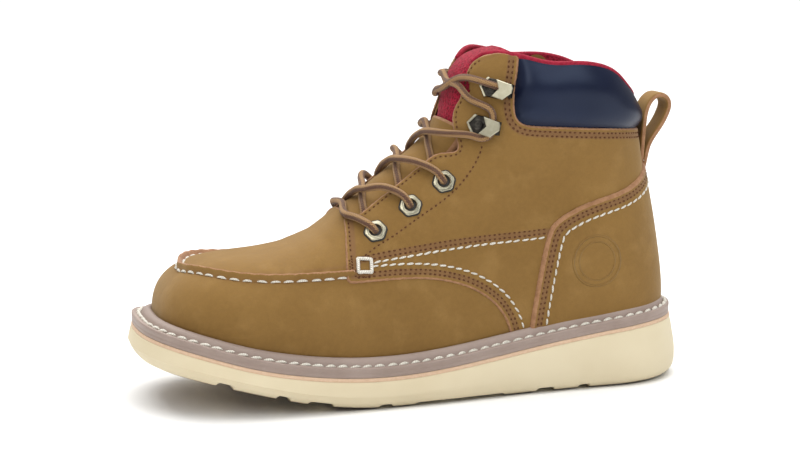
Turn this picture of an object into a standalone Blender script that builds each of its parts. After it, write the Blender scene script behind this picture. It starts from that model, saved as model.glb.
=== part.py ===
"""Wedge sole work boot, left foot, size about US 9.

Lengths in the tables are millimetres. Shoe coordinates: s runs forward from the back of the heel,
w runs to the outer (lateral) side, z is up from the floor. The toe points to -X and the outer side to -Y.
"""
import bpy
import bmesh
import math
import numpy as np
from mathutils import Matrix, Vector

for old in list(bpy.data.objects):
    bpy.data.objects.remove(old, do_unlink=True)

# ------------------------------------------------------------------ sizes (mm)
MM = 0.001
ORIGIN_S = 154.0          # the model's origin lies this far forward of the heel's back
ORIGIN_W = 1.0
WALL = 2.2                # leather and lining of the upper
GAP = 0.35                # between touching pieces
WELT_H = 5.6              # side of the welt
MID_H = 1.6               # thin layer under the welt
INSOLE_H = 6.0
COUNTER_T = 1.7
PAD_T = 2.6
TONGUE_T = 4.2
LACE_R = 2.0
R_TOE, R_BACK = 52.0, 40.0     # how far the toe and heel roundings reach in plan

# ------------------------------------------------------------------ tables
# height of the welt's outer top edge along the shoe
WELT_TOP = {"s": [0, 30, 55, 84, 114, 143, 171, 199, 225, 251, 275, 303],
            "z": [40.3, 39.0, 36.6, 32.9, 28.6, 24.8, 22.6, 23.0, 25.9, 31.0, 37.6, 44.6]}
# underside of the wedge: level from heel to ball, then toe spring
TREAD = {"s": [170, 180, 190, 200, 225, 251, 275, 297, 310],
         "z": [0.0, 0.0, 0.25, 1.1, 5.2, 11.6, 17.6, 22.0, 24.2]}
# back of the last
BACK = {"z": [10, 30, 44, 62, 76, 90, 104, 118, 136, 155, 190],
        "s": [13.5, 12.2, 11.6, 13.0, 15.1, 17.5, 20.1, 22.6, 25.2, 27.6, 28.4]}
# front of the toe box
TOE = {"z": [10, 30, 45, 57, 70, 90],
       "s": [292.5, 293.4, 293.4, 293.0, 292.0, 289.5]}
# ridge line: down the shin, over the instep, along the vamp to past the toe
RIDGE = {"s": [112, 118.5, 127, 134, 139.5, 148, 160, 173, 186, 197, 207, 219, 233, 248, 264, 280, 300],
         "z": [205, 190, 176, 162.5, 149, 137.5, 127.5, 117.5, 106.8, 96, 88, 82.3, 78.6, 77.1, 76.8, 76.8, 76.5]}
# depth of the shoulder under the ridge, by distance q along it
SHOULDER = {"q": [0, 40, 75, 110, 135, 160, 200, 240, 280],
            "depth": [47, 47, 48, 50, 47, 40, 36, 34, 34]}
# half widths of the last: columns are stations s, a row for each height z
STATIONS = [12, 45, 80, 120, 160, 200, 240, 290]
LATERAL = [(15, [33, 34, 35.5, 39.5, 44, 46.5, 46, 40]),
           (35, [34, 35, 36.5, 40, 45, 48, 47.5, 41.5]),
           (50, [35, 36, 37, 39.5, 44.5, 49, 49, 42.5]),
           (65, [35, 36, 36.8, 38.5, 42.5, 47.5, 48.5, 42.5]),
           (82, [34, 35, 36, 37, 40, 45, 46.5, 42]),
           (100, [33, 34, 35.5, 36.5, 38.5, 43, 45, 43]),
           (120, [33, 34, 35.5, 36, 37, 40, 43, 43]),
           (140, [33, 34, 35.5, 36, 37, 39, 42, 43]),
           (160, [33.5, 34.5, 36, 36.5, 37.5, 39, 42, 43]),
           (190, [34, 35, 36.5, 37, 38, 39, 42, 43])]
MEDIAL = [(15, [33, 32.5, 31.5, 31.5, 35.5, 42.5, 45.5, 46.5]),
          (35, [34, 33.5, 32.5, 32.5, 36.5, 43.5, 46.5, 48]),
          (50, [35, 34.5, 34, 34.5, 38, 44.5, 48, 49]),
          (65, [35, 35, 35, 35.5, 38, 43.5, 47.5, 48.5]),
          (82, [34, 35, 35.5, 36, 37, 41, 45, 47]),
          (100, [33, 34, 35.5, 36, 36.5, 39, 42, 43]),
          (120, [33, 34, 35.5, 36, 36.5, 38, 41, 43]),
          (140, [33, 34, 35.5, 36, 37, 39, 42, 43]),
          (160, [33.5, 34.5, 36, 36.5, 37.5, 39, 42, 43]),
          (190, [34, 35, 36.5, 37, 38, 39, 42, 43])]
# top line of the collar
COLLAR = {"s": [24, 27, 32, 38, 44, 50, 58, 72, 86, 95, 103, 110, 116, 121, 126],
          "z": [150.5, 153, 157, 161.5, 166.5, 170.3, 173.2, 175, 175.2, 177, 179, 180.6, 181.2, 180.8, 180]}
# half width of the throat opening, by distance q along the ridge
THROAT = {"q": [22, 26, 34, 39, 52, 60, 66, 70, 73.5, 77, 84, 110, 130, 136, 139.5],
          "half": [19, 16.5, 14.6, 15.2, 17.2, 16.2, 18, 23, 26.5, 25, 21.5, 21, 20.5, 17, 9]}
# welt and sole stand out past the upper
OVERHANG = {"s": [0, 40, 90, 150, 200, 250, 285, 305],
            "out": [6.4, 7.0, 7.6, 8.2, 8.6, 9.2, 9.9, 10.7]}
# heel counter's front and top edge, collar pad's lower and front edge
COUNTER_FRONT = {"s": [98.2, 97.2, 94.5, 91.2, 88.6], "z": [33.5, 41, 57.7, 73, 84]}
COUNTER_TOP = {"s": [22.2, 30.1, 39.8, 56.4, 71.4, 81.8, 88.6], "z": [117.5, 112.8, 107.2, 102.6, 97.6, 92.2, 84]}
PAD_FOOT = {"s": [24.6, 38.6, 63.9, 85.6, 99, 103.9], "z": [136.6, 138.3, 140.2, 141.7, 143, 145.2]}
PAD_FRONT = {"s": [103.9, 106.3, 106.2, 105.3, 103.6], "z": [145.2, 149.5, 156.4, 166.8, 178.6]}
# shallow cuts across the tread: start, end, depth
TREAD_CUTS = [("heel_1", 65, 71.5, 2.4), ("heel_2", 86, 96, 2.4), ("arch", 115, 166, 1.5),
              ("ball_1", 179, 186, 2.0), ("ball_2", 211, 224, 2.0), ("toe_1", 234, 240.5, 2.4),
              ("toe_2", 263, 270.5, 2.6)]
# hardware on each side: distance q along the ridge and depth under it
EYELETS = [("1", 135.3, 14.8), ("2", 110.5, 18.4), ("3", 88.5, 20.2)]
HOOKS = [("1", 61.5, 16.0), ("2", 40.5, 15.0)]

# ------------------------------------------------------------------ curves


def spline(xs, ys):
    """natural cubic spline through the rows of a table"""
    xs, ys = np.asarray(xs, float), np.asarray(ys, float)
    n, h = len(xs), np.diff(xs)
    m = np.zeros((n, n))
    r = np.zeros((n,) + ys.shape[1:])
    m[0, 0] = m[-1, -1] = 1
    for i in range(1, n - 1):
        m[i, i - 1], m[i, i], m[i, i + 1] = h[i - 1], 2 * (h[i - 1] + h[i]), h[i]
        r[i] = 6 * ((ys[i + 1] - ys[i]) / h[i] - (ys[i] - ys[i - 1]) / h[i - 1])
    k = np.linalg.solve(m, r)

    def at(x):
        x = np.clip(np.asarray(x, float), xs[0], xs[-1])
        i = np.clip(np.searchsorted(xs, x) - 1, 0, n - 2)
        a, b, hh = (xs[i + 1] - x) / h[i], (x - xs[i]) / h[i], h[i]
        if ys.ndim > 1:
            a, b, hh = a[..., None], b[..., None], hh[..., None]
        return a * ys[i] + b * ys[i + 1] + ((a ** 3 - a) * k[i] + (b ** 3 - b) * k[i + 1]) * hh * hh / 6
    return at


def path(table, count):
    """evenly spaced points on a smooth curve through the table's (s, z) rows, and its length"""
    p = np.stack([table["s"], table["z"]], -1).astype(float)
    t = np.concatenate([[0], np.cumsum(np.hypot(*np.diff(p, axis=0).T))])
    fine = spline(t, p)(np.linspace(0, t[-1], 400))
    length = np.concatenate([[0], np.cumsum(np.hypot(*np.diff(fine, axis=0).T))])
    u = np.linspace(0, length[-1], count)
    return np.stack([np.interp(u, length, fine[:, 0]), np.interp(u, length, fine[:, 1])], -1), length[-1]


def smoothstep(x, a, b):
    t = np.clip((x - a) / (b - a), 0, 1)
    return t * t * (3 - 2 * t)


welt_top = spline(WELT_TOP["s"], WELT_TOP["z"])
spring = spline(TREAD["s"], TREAD["z"])
back_s = spline(BACK["z"], BACK["s"])
toe_s = spline(TOE["z"], TOE["s"])
shoulder = spline(SHOULDER["q"], SHOULDER["depth"])
collar_z = spline(COLLAR["s"], COLLAR["z"])
overhang = spline(OVERHANG["s"], OVERHANG["out"])
ridge_pts, ridge_len = path(RIDGE, 361)
throat_half = spline(THROAT["q"], THROAT["half"])


def tread(s):
    """underside of the wedge: exactly level up to the ball"""
    s = np.asarray(s, float)
    return np.where(s > 181.0, np.maximum(spring(s), 0.0), 0.0)


def sheet(rows):
    """half width as a smooth function of s and z"""
    columns = spline([r[0] for r in rows], np.array([r[1] for r in rows], float))
    ws = np.asarray(STATIONS, float)
    n, h = len(ws), np.diff(ws)
    m, r = np.zeros((n, n)), np.zeros((n, n))
    m[0, 0] = m[-1, -1] = 1
    for i in range(1, n - 1):
        m[i, i - 1], m[i, i], m[i, i + 1] = h[i - 1], 2 * (h[i - 1] + h[i]), h[i]
        r[i, i - 1], r[i, i], r[i, i + 1] = 6 / h[i - 1], -6 / h[i] - 6 / h[i - 1], 6 / h[i]
    bend = np.linalg.solve(m, r)

    def at(s, z):
        y = columns(z)
        k = y @ bend.T
        x = np.clip(s, ws[0], ws[-1])
        i = np.clip(np.searchsorted(ws, x) - 1, 0, n - 2)
        a = (ws[i + 1] - x) / h[i]
        b = 1 - a

        def pick(arr, j):
            return np.take_along_axis(arr, j[..., None], -1)[..., 0]
        return (a * pick(y, i) + b * pick(y, i + 1)
                + ((a ** 3 - a) * pick(k, i) + (b ** 3 - b) * pick(k, i + 1)) * h[i] ** 2 / 6)
    return at


lateral_w, medial_w = sheet(LATERAL), sheet(MEDIAL)

# ------------------------------------------------------------------ the last


def ridge_distance(s, z):
    """depth under the ridge line and distance q along it, of side-view points"""
    s, z = np.asarray(s, float), np.asarray(z, float)
    shape = s.shape
    a = ridge_pts[:-1]
    e = ridge_pts[1:] - a
    size = (e * e).sum(1)
    step = ridge_len / (len(ridge_pts) - 1)
    p = np.stack([s.ravel(), z.ravel()], -1)[:, None, :] - a[None]
    t = np.clip((p * e).sum(-1) / size, 0, 1)
    r = p - t[..., None] * e
    d2 = (r * r).sum(-1)
    k = d2.argmin(1)
    j = np.arange(len(k))
    q = (k + t[j, k]) * step
    inside = e[k, 0] * p[j, k, 1] - e[k, 1] * p[j, k, 0] < 0
    return (np.sqrt(d2[j, k]) * np.where(inside, 1, -1)).reshape(shape), q.reshape(shape)


def roundness(s):
    """exponent of the cross-section: round shaft and instep, squarer vamp and toe"""
    return 2.15 + 0.65 * smoothstep(s, 175, 235)


def rim(s, z):
    """0 deep inside the side view's outline, 1 on it, and the exponent there"""
    s, z = np.asarray(s, float), np.asarray(z, float)
    m = roundness(s)
    d, q = ridge_distance(s, z)
    top = np.maximum(1 - d / shoulder(q), 0)
    toe = np.maximum(1 - (toe_s(z) - s) / R_TOE, 0)
    heel = np.maximum(1 - (s - back_s(z)) / (R_BACK + 6 * smoothstep(z, 100, 150)), 0)
    return top ** m + toe ** m + heel ** 2.25, m


def middle(s, z):
    return (lateral_w(s, z) - medial_w(s, z)) / 2


def width(s, z, side):
    """w of the last's surface; side is +1 lateral, -1 medial"""
    edge, m = rim(s, z)
    half = (lateral_w(s, z) + medial_w(s, z)) / 2
    return middle(s, z) + side * half * np.maximum(1 - edge, 0) ** (1 / m)


def level(p):
    """implicit form of the last: 0 on its surface"""
    s, w, z = p[..., 0], p[..., 1], p[..., 2]
    edge, m = rim(s, z)
    half = (lateral_w(s, z) + medial_w(s, z)) / 2
    return (np.abs(w - middle(s, z)) / half) ** m + edge - 1


def skin(sz, side, off=0.0):
    """points (s, w, z) on the last over side-view points, moved out by off"""
    s, z = sz[..., 0], sz[..., 1]
    p = np.stack([s, width(s, z, side), z], -1)
    if np.ndim(off) == 0 and off == 0.0:
        return p
    e = 0.05
    g = np.stack([level(p + e * v) - level(p - e * v) for v in np.eye(3)], -1)
    g /= np.linalg.norm(g, axis=-1, keepdims=True)
    return p + g * (off[..., None] if np.ndim(off) else off)


def over_ridge(q, half):
    """side-view point where the surface is half a width away from its middle line, beside ridge distance q"""
    q = np.asarray(q, float)
    u = q / ridge_len * (len(ridge_pts) - 1)
    i = np.clip(u.astype(int), 0, len(ridge_pts) - 2)
    f = (u - i)[..., None]
    p = ridge_pts[i] * (1 - f) + ridge_pts[i + 1] * f
    t = ridge_pts[np.minimum(i + 2, len(ridge_pts) - 1)] - ridge_pts[np.maximum(i - 1, 0)]
    t = t / np.linalg.norm(t, axis=-1, keepdims=True)
    n = np.stack([t[..., 1], -t[..., 0]], -1)          # into the shoe
    m = roundness(p[..., 0])
    full = (lateral_w(p[..., 0], p[..., 1]) + medial_w(p[..., 0], p[..., 1])) / 2
    d = shoulder(q) * (1 - np.maximum(1 - np.clip(half / full, 0, 0.999) ** m, 0) ** (1 / m))
    return p + n * d[..., None]


def end_of_section(fz, low, high, front):
    """s where the outline crosses the height function fz, at the toe (front) or the back"""
    for _ in range(40):
        mid = (low + high) / 2
        out = rim(np.array([mid]), np.array([fz(mid)]))[0][0] > 1
        if out == front:
            high = mid
        else:
            low = mid
    return (low + high) / 2


def plan(lift, count):
    """lateral and medial outline of the last at welt height + lift, both from heel to toe"""
    def fz(s):
        return float(welt_top(s)) + lift
    s0 = end_of_section(fz, 5.0, 40.0, False)
    s1 = end_of_section(fz, 260.0, 305.0, True)
    s = s0 + (s1 - s0) * (1 - np.cos(np.pi * np.linspace(0, 1, count))) / 2
    z = welt_top(s) + lift
    return s, width(s, z, 1), width(s, z, -1)


def ring(lift, out, count=33):
    """closed outline in plan, moved out by out(s): lateral heel to toe, then medial toe to heel"""
    s, lat, med = plan(lift, count)
    p = np.concatenate([np.stack([s, lat], -1), np.stack([s[::-1], med[::-1]], -1)[1:-1]])
    t = np.roll(p, -1, 0) - np.roll(p, 1, 0)
    t /= np.linalg.norm(t, axis=1, keepdims=True)
    n = np.stack([-t[:, 1], t[:, 0]], -1)
    return p + n * np.broadcast_to(out(p[:, 0]) if callable(out) else out, len(p))[:, None]


# ------------------------------------------------------------------ Blender helpers
def collection(name):
    c = bpy.data.collections.new(name)
    bpy.context.scene.collection.children.link(c)
    return c


BOOT = collection("wedge_sole_work_boot")
CUTTERS = collection("cutters")


def material(name, colour, roughness=0.6, metallic=0.0):
    mat = bpy.data.materials.new(name)
    mat.use_nodes = True
    bsdf = mat.node_tree.nodes["Principled BSDF"]
    bsdf.inputs["Base Color"].default_value = (*colour, 1.0)
    bsdf.inputs["Roughness"].default_value = roughness
    bsdf.inputs["Metallic"].default_value = metallic
    return mat


MATS = {
    "nubuck": material("tan_nubuck", (0.30, 0.17, 0.06), 0.85),
    "navy": material("navy_leather", (0.015, 0.02, 0.045), 0.4),
    "taupe": material("taupe_welt", (0.26, 0.19, 0.15), 0.6),
    "peach": material("peach_layer", (0.78, 0.45, 0.25), 0.6),
    "cream": material("cream_wedge", (0.78, 0.66, 0.44), 0.6),
    "red": material("red_lining", (0.42, 0.02, 0.05), 0.9),
    "brass": material("pale_brass", (0.80, 0.72, 0.50), 0.3, 1.0),
    "steel": material("dark_steel", (0.08, 0.08, 0.08), 0.4, 1.0),
    "lace": material("brown_lace", (0.25, 0.13, 0.06), 0.9),
}


def world(p):
    """shoe coordinates in mm to Blender's metres"""
    p = np.asarray(p, float)
    return np.stack([-(p[..., 0] - ORIGIN_S), -(p[..., 1] - ORIGIN_W), p[..., 2]], -1) * MM


def place(name, mesh, mat, smooth=True):
    ob = bpy.data.objects.new(name, mesh)
    BOOT.objects.link(ob)
    mesh.materials.clear()
    mesh.materials.append(MATS[mat])
    if smooth:
        mesh.shade_smooth()
        mesh.set_sharp_from_angle(angle=math.radians(35))
    return ob


def face_out(bm, closed=True):
    bmesh.ops.recalc_face_normals(bm, faces=bm.faces)
    if closed and bm.calc_volume(signed=True) < 0:
        bmesh.ops.reverse_faces(bm, faces=bm.faces)


def loft(name, mat, sections, ends=True):
    """a closed solid through rings of equal count; its two ends are closed by strips across the shoe,
    or the last ring meets the first one"""
    rings = [world(r) for r in sections]
    n = len(rings[0])
    bm = bmesh.new()
    v = [[bm.verts.new(p) for p in r] for r in rings]
    last = len(rings) - 1 if ends else len(rings)
    for j in range(last):
        a, b = v[j], v[(j + 1) % len(rings)]
        for i in range(n):
            bm.faces.new((a[i], a[(i + 1) % n], b[(i + 1) % n], b[i]))
    if ends:
        half = n // 2
        for r, order in ((v[0], 1), (v[-1], -1)):
            for i in range(half):
                quad = [r[i], r[i + 1], r[(n - i - 1) % n], r[(n - i) % n]]
                quad = [q for k, q in enumerate(quad) if q not in quad[:k]]
                bm.faces.new(quad[::order])
    face_out(bm)
    mesh = bpy.data.meshes.new(name)
    bm.to_mesh(mesh)
    bm.free()
    return place(name, mesh, mat)


def open_sheet(name, mat, rows, thickness, merge_first=None, merge_last=None):
    """an open surface from rows of points, thickened inward by Solidify. Where merge flags are set,
    the row's first (last) point is one with its partner's on the other half"""
    bm = bmesh.new()
    v = [[bm.verts.new(p) for p in world(r)] for r in rows]
    for a, b in zip(v[:-1], v[1:]):
        for i in range(len(a) - 1):
            bm.faces.new((a[i], a[i + 1], b[i + 1], b[i]))
    bmesh.ops.remove_doubles(bm, verts=bm.verts, dist=2e-6)
    bmesh.ops.dissolve_degenerate(bm, edges=bm.edges, dist=1e-6)
    bmesh.ops.recalc_face_normals(bm, faces=bm.faces)
    # the sheet wraps a point inside the shoe, so its faces should look away from it
    centre = Vector(world(np.array([130.0, 0.0, 70.0])))
    facing = sum((f.calc_center_median() - centre).dot(f.normal) * f.calc_area() for f in bm.faces)
    if facing < 0:
        bmesh.ops.reverse_faces(bm, faces=bm.faces)
    mesh = bpy.data.meshes.new(name)
    bm.to_mesh(mesh)
    bm.free()
    ob = place(name, mesh, mat)
    mod = ob.modifiers.new("wall", "SOLIDIFY")
    mod.thickness = thickness * MM
    mod.offset = -1.0
    return ob


def blend_patch(bottom, top, back, front, along, up):
    """grid of side-view points between four edge curves (each a function of 0..1)"""
    a, b = along[None, :, None], up[:, None, None]
    corner = (bottom(np.array([0.0])), bottom(np.array([1.0])), top(np.array([0.0])), top(np.array([1.0])))
    return ((1 - b) * bottom(along)[None] + b * top(along)[None]
            + (1 - a) * back(up)[:, None] + a * front(up)[:, None]
            - (1 - a) * (1 - b) * corner[0] - a * (1 - b) * corner[1]
            - (1 - a) * b * corner[2] - a * b * corner[3])


def along_path(points):
    """function of 0..1 by length along a polyline"""
    t = np.concatenate([[0], np.cumsum(np.hypot(*np.diff(points, axis=0).T))])
    t /= t[-1]
    return lambda u: np.stack([np.interp(u, t, points[:, 0]), np.interp(u, t, points[:, 1])], -1)


def line_of(fz, s0, s1):
    """function of 0..1 along s0..s1 at the height fz(s)"""
    return lambda u: np.stack([s0 + (s1 - s0) * u, fz(s0 + (s1 - s0) * u)], -1)


# ------------------------------------------------------------------ sole unit
def at_height(outline, fz):
    return np.stack([outline[:, 0], outline[:, 1], fz(outline[:, 0])], -1)


def make_sole():
    def grown(extra, heel=0.0):
        return ring(2.0, lambda s: overhang(s) + extra + heel * (1 - smoothstep(s, 5, 60)))
    top = lambda s: welt_top(s) - WELT_H - MID_H - GAP

    def between(f):
        """height a fraction f of the way from the tread to the wedge's top"""
        return lambda s: tread(s) + f * (top(s) - tread(s))
    sections = [at_height(grown(-4.6), tread),
                at_height(grown(-1.6, 0.6), lambda s: tread(s) + 1.1),
                at_height(grown(0.7, 1.0), lambda s: tread(s) + 3.2),
                at_height(grown(1.9, 1.4), lambda s: tread(s) + 6.4),
                at_height(grown(2.1, 1.2), between(0.5)),
                at_height(grown(0.9, 0.2), between(0.9)),
                at_height(grown(0.4, 0.0), top)]
    sole = loft("outsole", "cream", sections)
    for name, start, stop, depth in TREAD_CUTS:
        mid = (start + stop) / 2
        slope = float(tread(stop) - tread(start))
        bpy.ops.mesh.primitive_cube_add(size=1.0)
        cutter = bpy.context.object
        cutter.name = "cut_" + name
        for c in cutter.users_collection:
            c.objects.unlink(cutter)
        CUTTERS.objects.link(cutter)
        # a wedge-sided trough: wider at the tread than at its floor
        for v in cutter.data.vertices:
            flare = 0.0 if v.co.z > 0 else 0.6
            high = v.co.z > 0
            s = (start - flare) if v.co.x > 0 else (stop + flare)
            z = float(tread(s)) + (depth if high else -3.0)
            v.co = Vector(world(np.array([s, -v.co.y * 200.0, z])))
        cutter.hide_render = True
        cutter.display_type = "WIRE"
        mod = sole.modifiers.new(name, "BOOLEAN")
        mod.object = cutter
        mod.operation = "DIFFERENCE"
    plate = [at_height(ring(2.0, lambda s: overhang(s) - 0.1), lambda s: welt_top(s) - WELT_H - MID_H),
             at_height(ring(2.0, lambda s: overhang(s) + 0.2), lambda s: welt_top(s) - WELT_H - MID_H / 2),
             at_height(ring(2.0, lambda s: overhang(s) - 0.1), lambda s: welt_top(s) - WELT_H - GAP)]
    loft("midsole", "peach", plate)
    # welt: flat strip with a raised bead against the upper, a closed ring
    w0 = lambda lift: (lambda s: welt_top(s) + lift)
    hem = WELT_H - 0.05
    profile = [(-hem, lambda s: overhang(s) - 0.3, 2.0), (-0.6, lambda s: overhang(s), 2.0),
               (0.0, lambda s: overhang(s) - 0.7, 2.0), (-0.2, lambda s: overhang(s) * 0.62, 2.0),
               (1.6, lambda s: overhang(s) * 0.50, 2.0), (3.3, lambda s: overhang(s) * 0.32, 3.3),
               (3.8, lambda s: 0 * s + 1.5, 3.8), (3.2, lambda s: 0 * s + GAP + 0.15, 3.2),
               (0.0, lambda s: 0 * s + GAP + 0.15, 0.0), (-hem, lambda s: 0 * s + GAP + 0.15, -hem)]
    loft("welt", "taupe", [at_height(ring(base, out), w0(lift)) for lift, out, base in profile], ends=False)
    # insole lies inside the wall on the thin layer
    inner = -(WALL + GAP + 0.3)
    insole = [at_height(ring(lift, inner - trim), w0(lift))
              for lift, trim in ((-WELT_H + GAP, 0.3), (-WELT_H + INSOLE_H - 1.0, 0.0), (-WELT_H + INSOLE_H, 1.2))]
    loft("insole", "red", insole)


# ------------------------------------------------------------------ upper
ACROSS, ROWS = 25, 25


def front_edge():
    """outline from the toe's foot over the toe, vamp and instep to the collar: points and their q"""
    s_foot = end_of_section(lambda s: float(welt_top(s)) - WELT_H + GAP, 260.0, 305.0, True)
    start = np.array([s_foot, float(welt_top(s_foot)) - WELT_H + GAP])
    hub = np.array([232.0, 44.0])
    a0 = math.atan2(start[1] - hub[1], start[0] - hub[0])
    pts = []
    for ang in np.linspace(a0, math.radians(88), 60):
        d = np.array([math.cos(ang), math.sin(ang)])
        low, high = 5.0, 90.0
        for _ in range(36):
            mid = (low + high) / 2
            p = hub + d * mid
            if rim(p[:1], p[1:])[0][0] > 1:
                high = mid
            else:
                low = mid
        pts.append(hub + d * low)
    pts = np.array(pts)
    _, q = ridge_distance(pts[-1:, 0], pts[-1:, 1])
    qs = np.arange(q[0] - 1.0, 27.0, -1.0)
    rest = over_ridge(qs, np.zeros(len(qs)))
    return np.concatenate([pts, rest]), np.concatenate([np.full(len(pts), 999.0), qs])


def make_upper():
    edge, edge_q = front_edge()
    run = np.concatenate([[0], np.cumsum(np.hypot(*np.diff(edge, axis=0).T))])
    run /= run[-1]
    # rows: even over toe and vamp, then one just below the throat's end and one just above it
    u_throat = float(np.interp(-140.0, -edge_q[60:], run[60:]))
    low = np.linspace(0, u_throat, 12)
    high = u_throat + (1 - u_throat) * np.concatenate([[0.018, 0.05], np.linspace(0.11, 1, ROWS - 14)])
    up = np.concatenate([low, high])
    q_row = np.interp(up, run, np.minimum(edge_q, 400))
    front = np.stack([np.interp(up, run, edge[:, 0]), np.interp(up, run, edge[:, 1])], -1)
    is_open = np.arange(len(up)) >= len(low)
    front[is_open] = over_ridge(q_row[is_open], throat_half(q_row[is_open]))
    along = (1 - np.cos(np.pi * np.linspace(0, 1, ACROSS))) / 2
    # above the throat the rows end at the open edge, so they need no crowding there
    hem = lambda s: welt_top(s) - WELT_H + GAP
    s_back = end_of_section(lambda s: float(hem(s)), 5.0, 40.0, False)
    z0 = float(hem(s_back))
    z1 = 152.6
    s_top = float(back_s(z1))
    back = lambda u: np.stack([back_s(z0 + (z1 - z0) * u), z0 + (z1 - z0) * u], -1)
    bottom = line_of(hem, s_back, edge[0, 0])
    collar = np.stack([np.linspace(s_top, front[-1, 0], 80)] * 2, -1)
    collar[:, 1] = collar_z(collar[:, 0])
    collar[0, 1] = z1
    collar[-8:, 1] = np.linspace(collar[-8, 1], front[-1, 1], 8)
    top = along_path(collar)
    grid = blend_patch(bottom, top, back, lambda u: front, along, up)
    lat, med = skin(grid, 1), skin(grid, -1)
    lat[:, 0, 1] = med[:, 0, 1] = middle(grid[:, 0, 0], grid[:, 0, 1])
    shut = ~is_open
    lat[shut, -1, 1] = med[shut, -1, 1] = middle(grid[shut, -1, 0], grid[shut, -1, 1])
    # two halves share the back line and, below the throat, the front line
    bm = bmesh.new()
    L = [[bm.verts.new(p) for p in r] for r in world(lat)]
    M = []
    for j, r in enumerate(world(med)):
        row = [L[j][0]] + [bm.verts.new(p) for p in r[1:-1]]
        row.append(L[j][-1] if shut[j] else bm.verts.new(r[-1]))
        M.append(row)
    for a, b in zip(L[:-1], L[1:]):
        for i in range(ACROSS - 1):
            bm.faces.new((a[i], a[i + 1], b[i + 1], b[i]))
    for a, b in zip(M[:-1], M[1:]):
        for i in range(ACROSS - 1):
            bm.faces.new((b[i], b[i + 1], a[i + 1], a[i]))
    bmesh.ops.recalc_face_normals(bm, faces=bm.faces)
    centre = Vector(world(np.array([110.0, 0.0, 70.0])))
    if sum((f.calc_center_median() - centre).dot(f.normal) * f.calc_area() for f in bm.faces) < 0:
        bmesh.ops.reverse_faces(bm, faces=bm.faces)
    mesh = bpy.data.meshes.new("upper")
    bm.to_mesh(mesh)
    bm.free()
    ob = place("upper", mesh, "nubuck")
    wall = ob.modifiers.new("wall", "SOLIDIFY")
    wall.thickness = WALL * MM
    wall.offset = -1.0


def make_overlay(name, mat, grid, off, thickness):
    """a sheet round the heel between two forms of the last, off and off + thickness out from it"""
    lat, med = skin(grid, 1, off + thickness), skin(grid, -1, off + thickness)
    lat[:, 0, 1] = med[:, 0, 1] = 0.0
    rows = [np.concatenate([l[::-1], m[1:]]) for l, m in zip(lat, med)]
    return open_sheet(name, mat, rows, thickness)


def make_counter():
    up = np.linspace(0, 1, 9)
    along = 1 - np.cos(np.pi / 2 * np.linspace(0, 1, 10))
    foot = lambda s: welt_top(s) + 4.6
    fz = foot(np.array([97.0]))[0]
    s_back = end_of_section(lambda s: float(foot(s)), 5.0, 40.0, False)
    front, _ = path(COUNTER_FRONT, 40)
    front = front[front[:, 1] > fz]
    top, _ = path(COUNTER_TOP, 60)
    z0 = float(foot(s_back))
    top[0] = (back_s(top[0, 1]), top[0, 1])
    back = lambda u: np.stack([back_s(z0 + (top[0, 1] - z0) * u), z0 + (top[0, 1] - z0) * u], -1)
    grid = blend_patch(line_of(foot, s_back, front[0, 0]), along_path(top), back, along_path(front), along, up)
    make_overlay("heel_counter", "nubuck", grid, GAP + 0.15, COUNTER_T)


def make_collar_pad():
    up = np.linspace(0, 1, 6)
    along = 1 - np.cos(np.pi / 2 * np.linspace(0, 1, 13))
    foot, _ = path(PAD_FOOT, 60)
    front, _ = path(PAD_FRONT, 40)
    foot[0] = (back_s(foot[0, 1]), foot[0, 1])
    z1 = 151.8
    top = np.stack([np.linspace(float(back_s(z1)), front[-1, 0], 60)] * 2, -1)
    top[:, 1] = collar_z(top[:, 0]) - 0.8
    top[0, 1] = z1
    top[-1] = front[-1]
    back = lambda u: np.stack([back_s(foot[0, 1] + (z1 - foot[0, 1]) * u), foot[0, 1] + (z1 - foot[0, 1]) * u], -1)
    grid = blend_patch(along_path(foot), along_path(top), back, along_path(front), along, up)
    make_overlay("collar_pad", "navy", grid, GAP + 0.35, PAD_T)


def make_tongue():
    qs = np.linspace(22.5, 152, 18)
    half = np.linspace(-1, 1, 11)
    rows = []
    for q in qs:
        reach = 25 - 3 * smoothstep(q, 120, 150)
        g = half * reach
        sz = over_ridge(np.full(len(g), q), np.abs(g))
        lat, med = skin(sz, 1, -(WALL + 0.8)), skin(sz, -1, -(WALL + 0.8))
        p = np.where(g[:, None] > 0, lat, med)
        mid = len(g) // 2
        p[mid, 1] = middle(sz[mid, 0], sz[mid, 1])
        rows.append(p)
    open_sheet("tongue", "nubuck", rows, TONGUE_T)


# ------------------------------------------------------------------ small pieces
def frame_at(sz, side, off):
    """position, and axes (to the rear, across that, outward) at a point of the surface"""
    sz = np.asarray(sz, float)[None]
    p = skin(sz, side, off)[0]
    n = skin(sz, side, off + 1.0)[0] - p
    rear = skin(sz + np.array([[-0.5, -0.08]]), side, off)[0] - p
    n = Vector((-n[0], -n[1], n[2])).normalized()
    x = Vector((-rear[0], -rear[1], rear[2]))
    x = (x - n * x.dot(n)).normalized()
    m = Matrix((x, n.cross(x), n)).transposed().to_4x4()
    m.translation = Vector(world(p))
    return m


def at_depth(q, d):
    u = q / ridge_len * (len(ridge_pts) - 1)
    i = int(u)
    p = ridge_pts[i] * (1 - u + i) + ridge_pts[i + 1] * (u - i)
    t = ridge_pts[i + 2] - ridge_pts[i - 1]
    t = t / np.hypot(*t)
    return p + np.array([t[1], -t[0]]) * d


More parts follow.
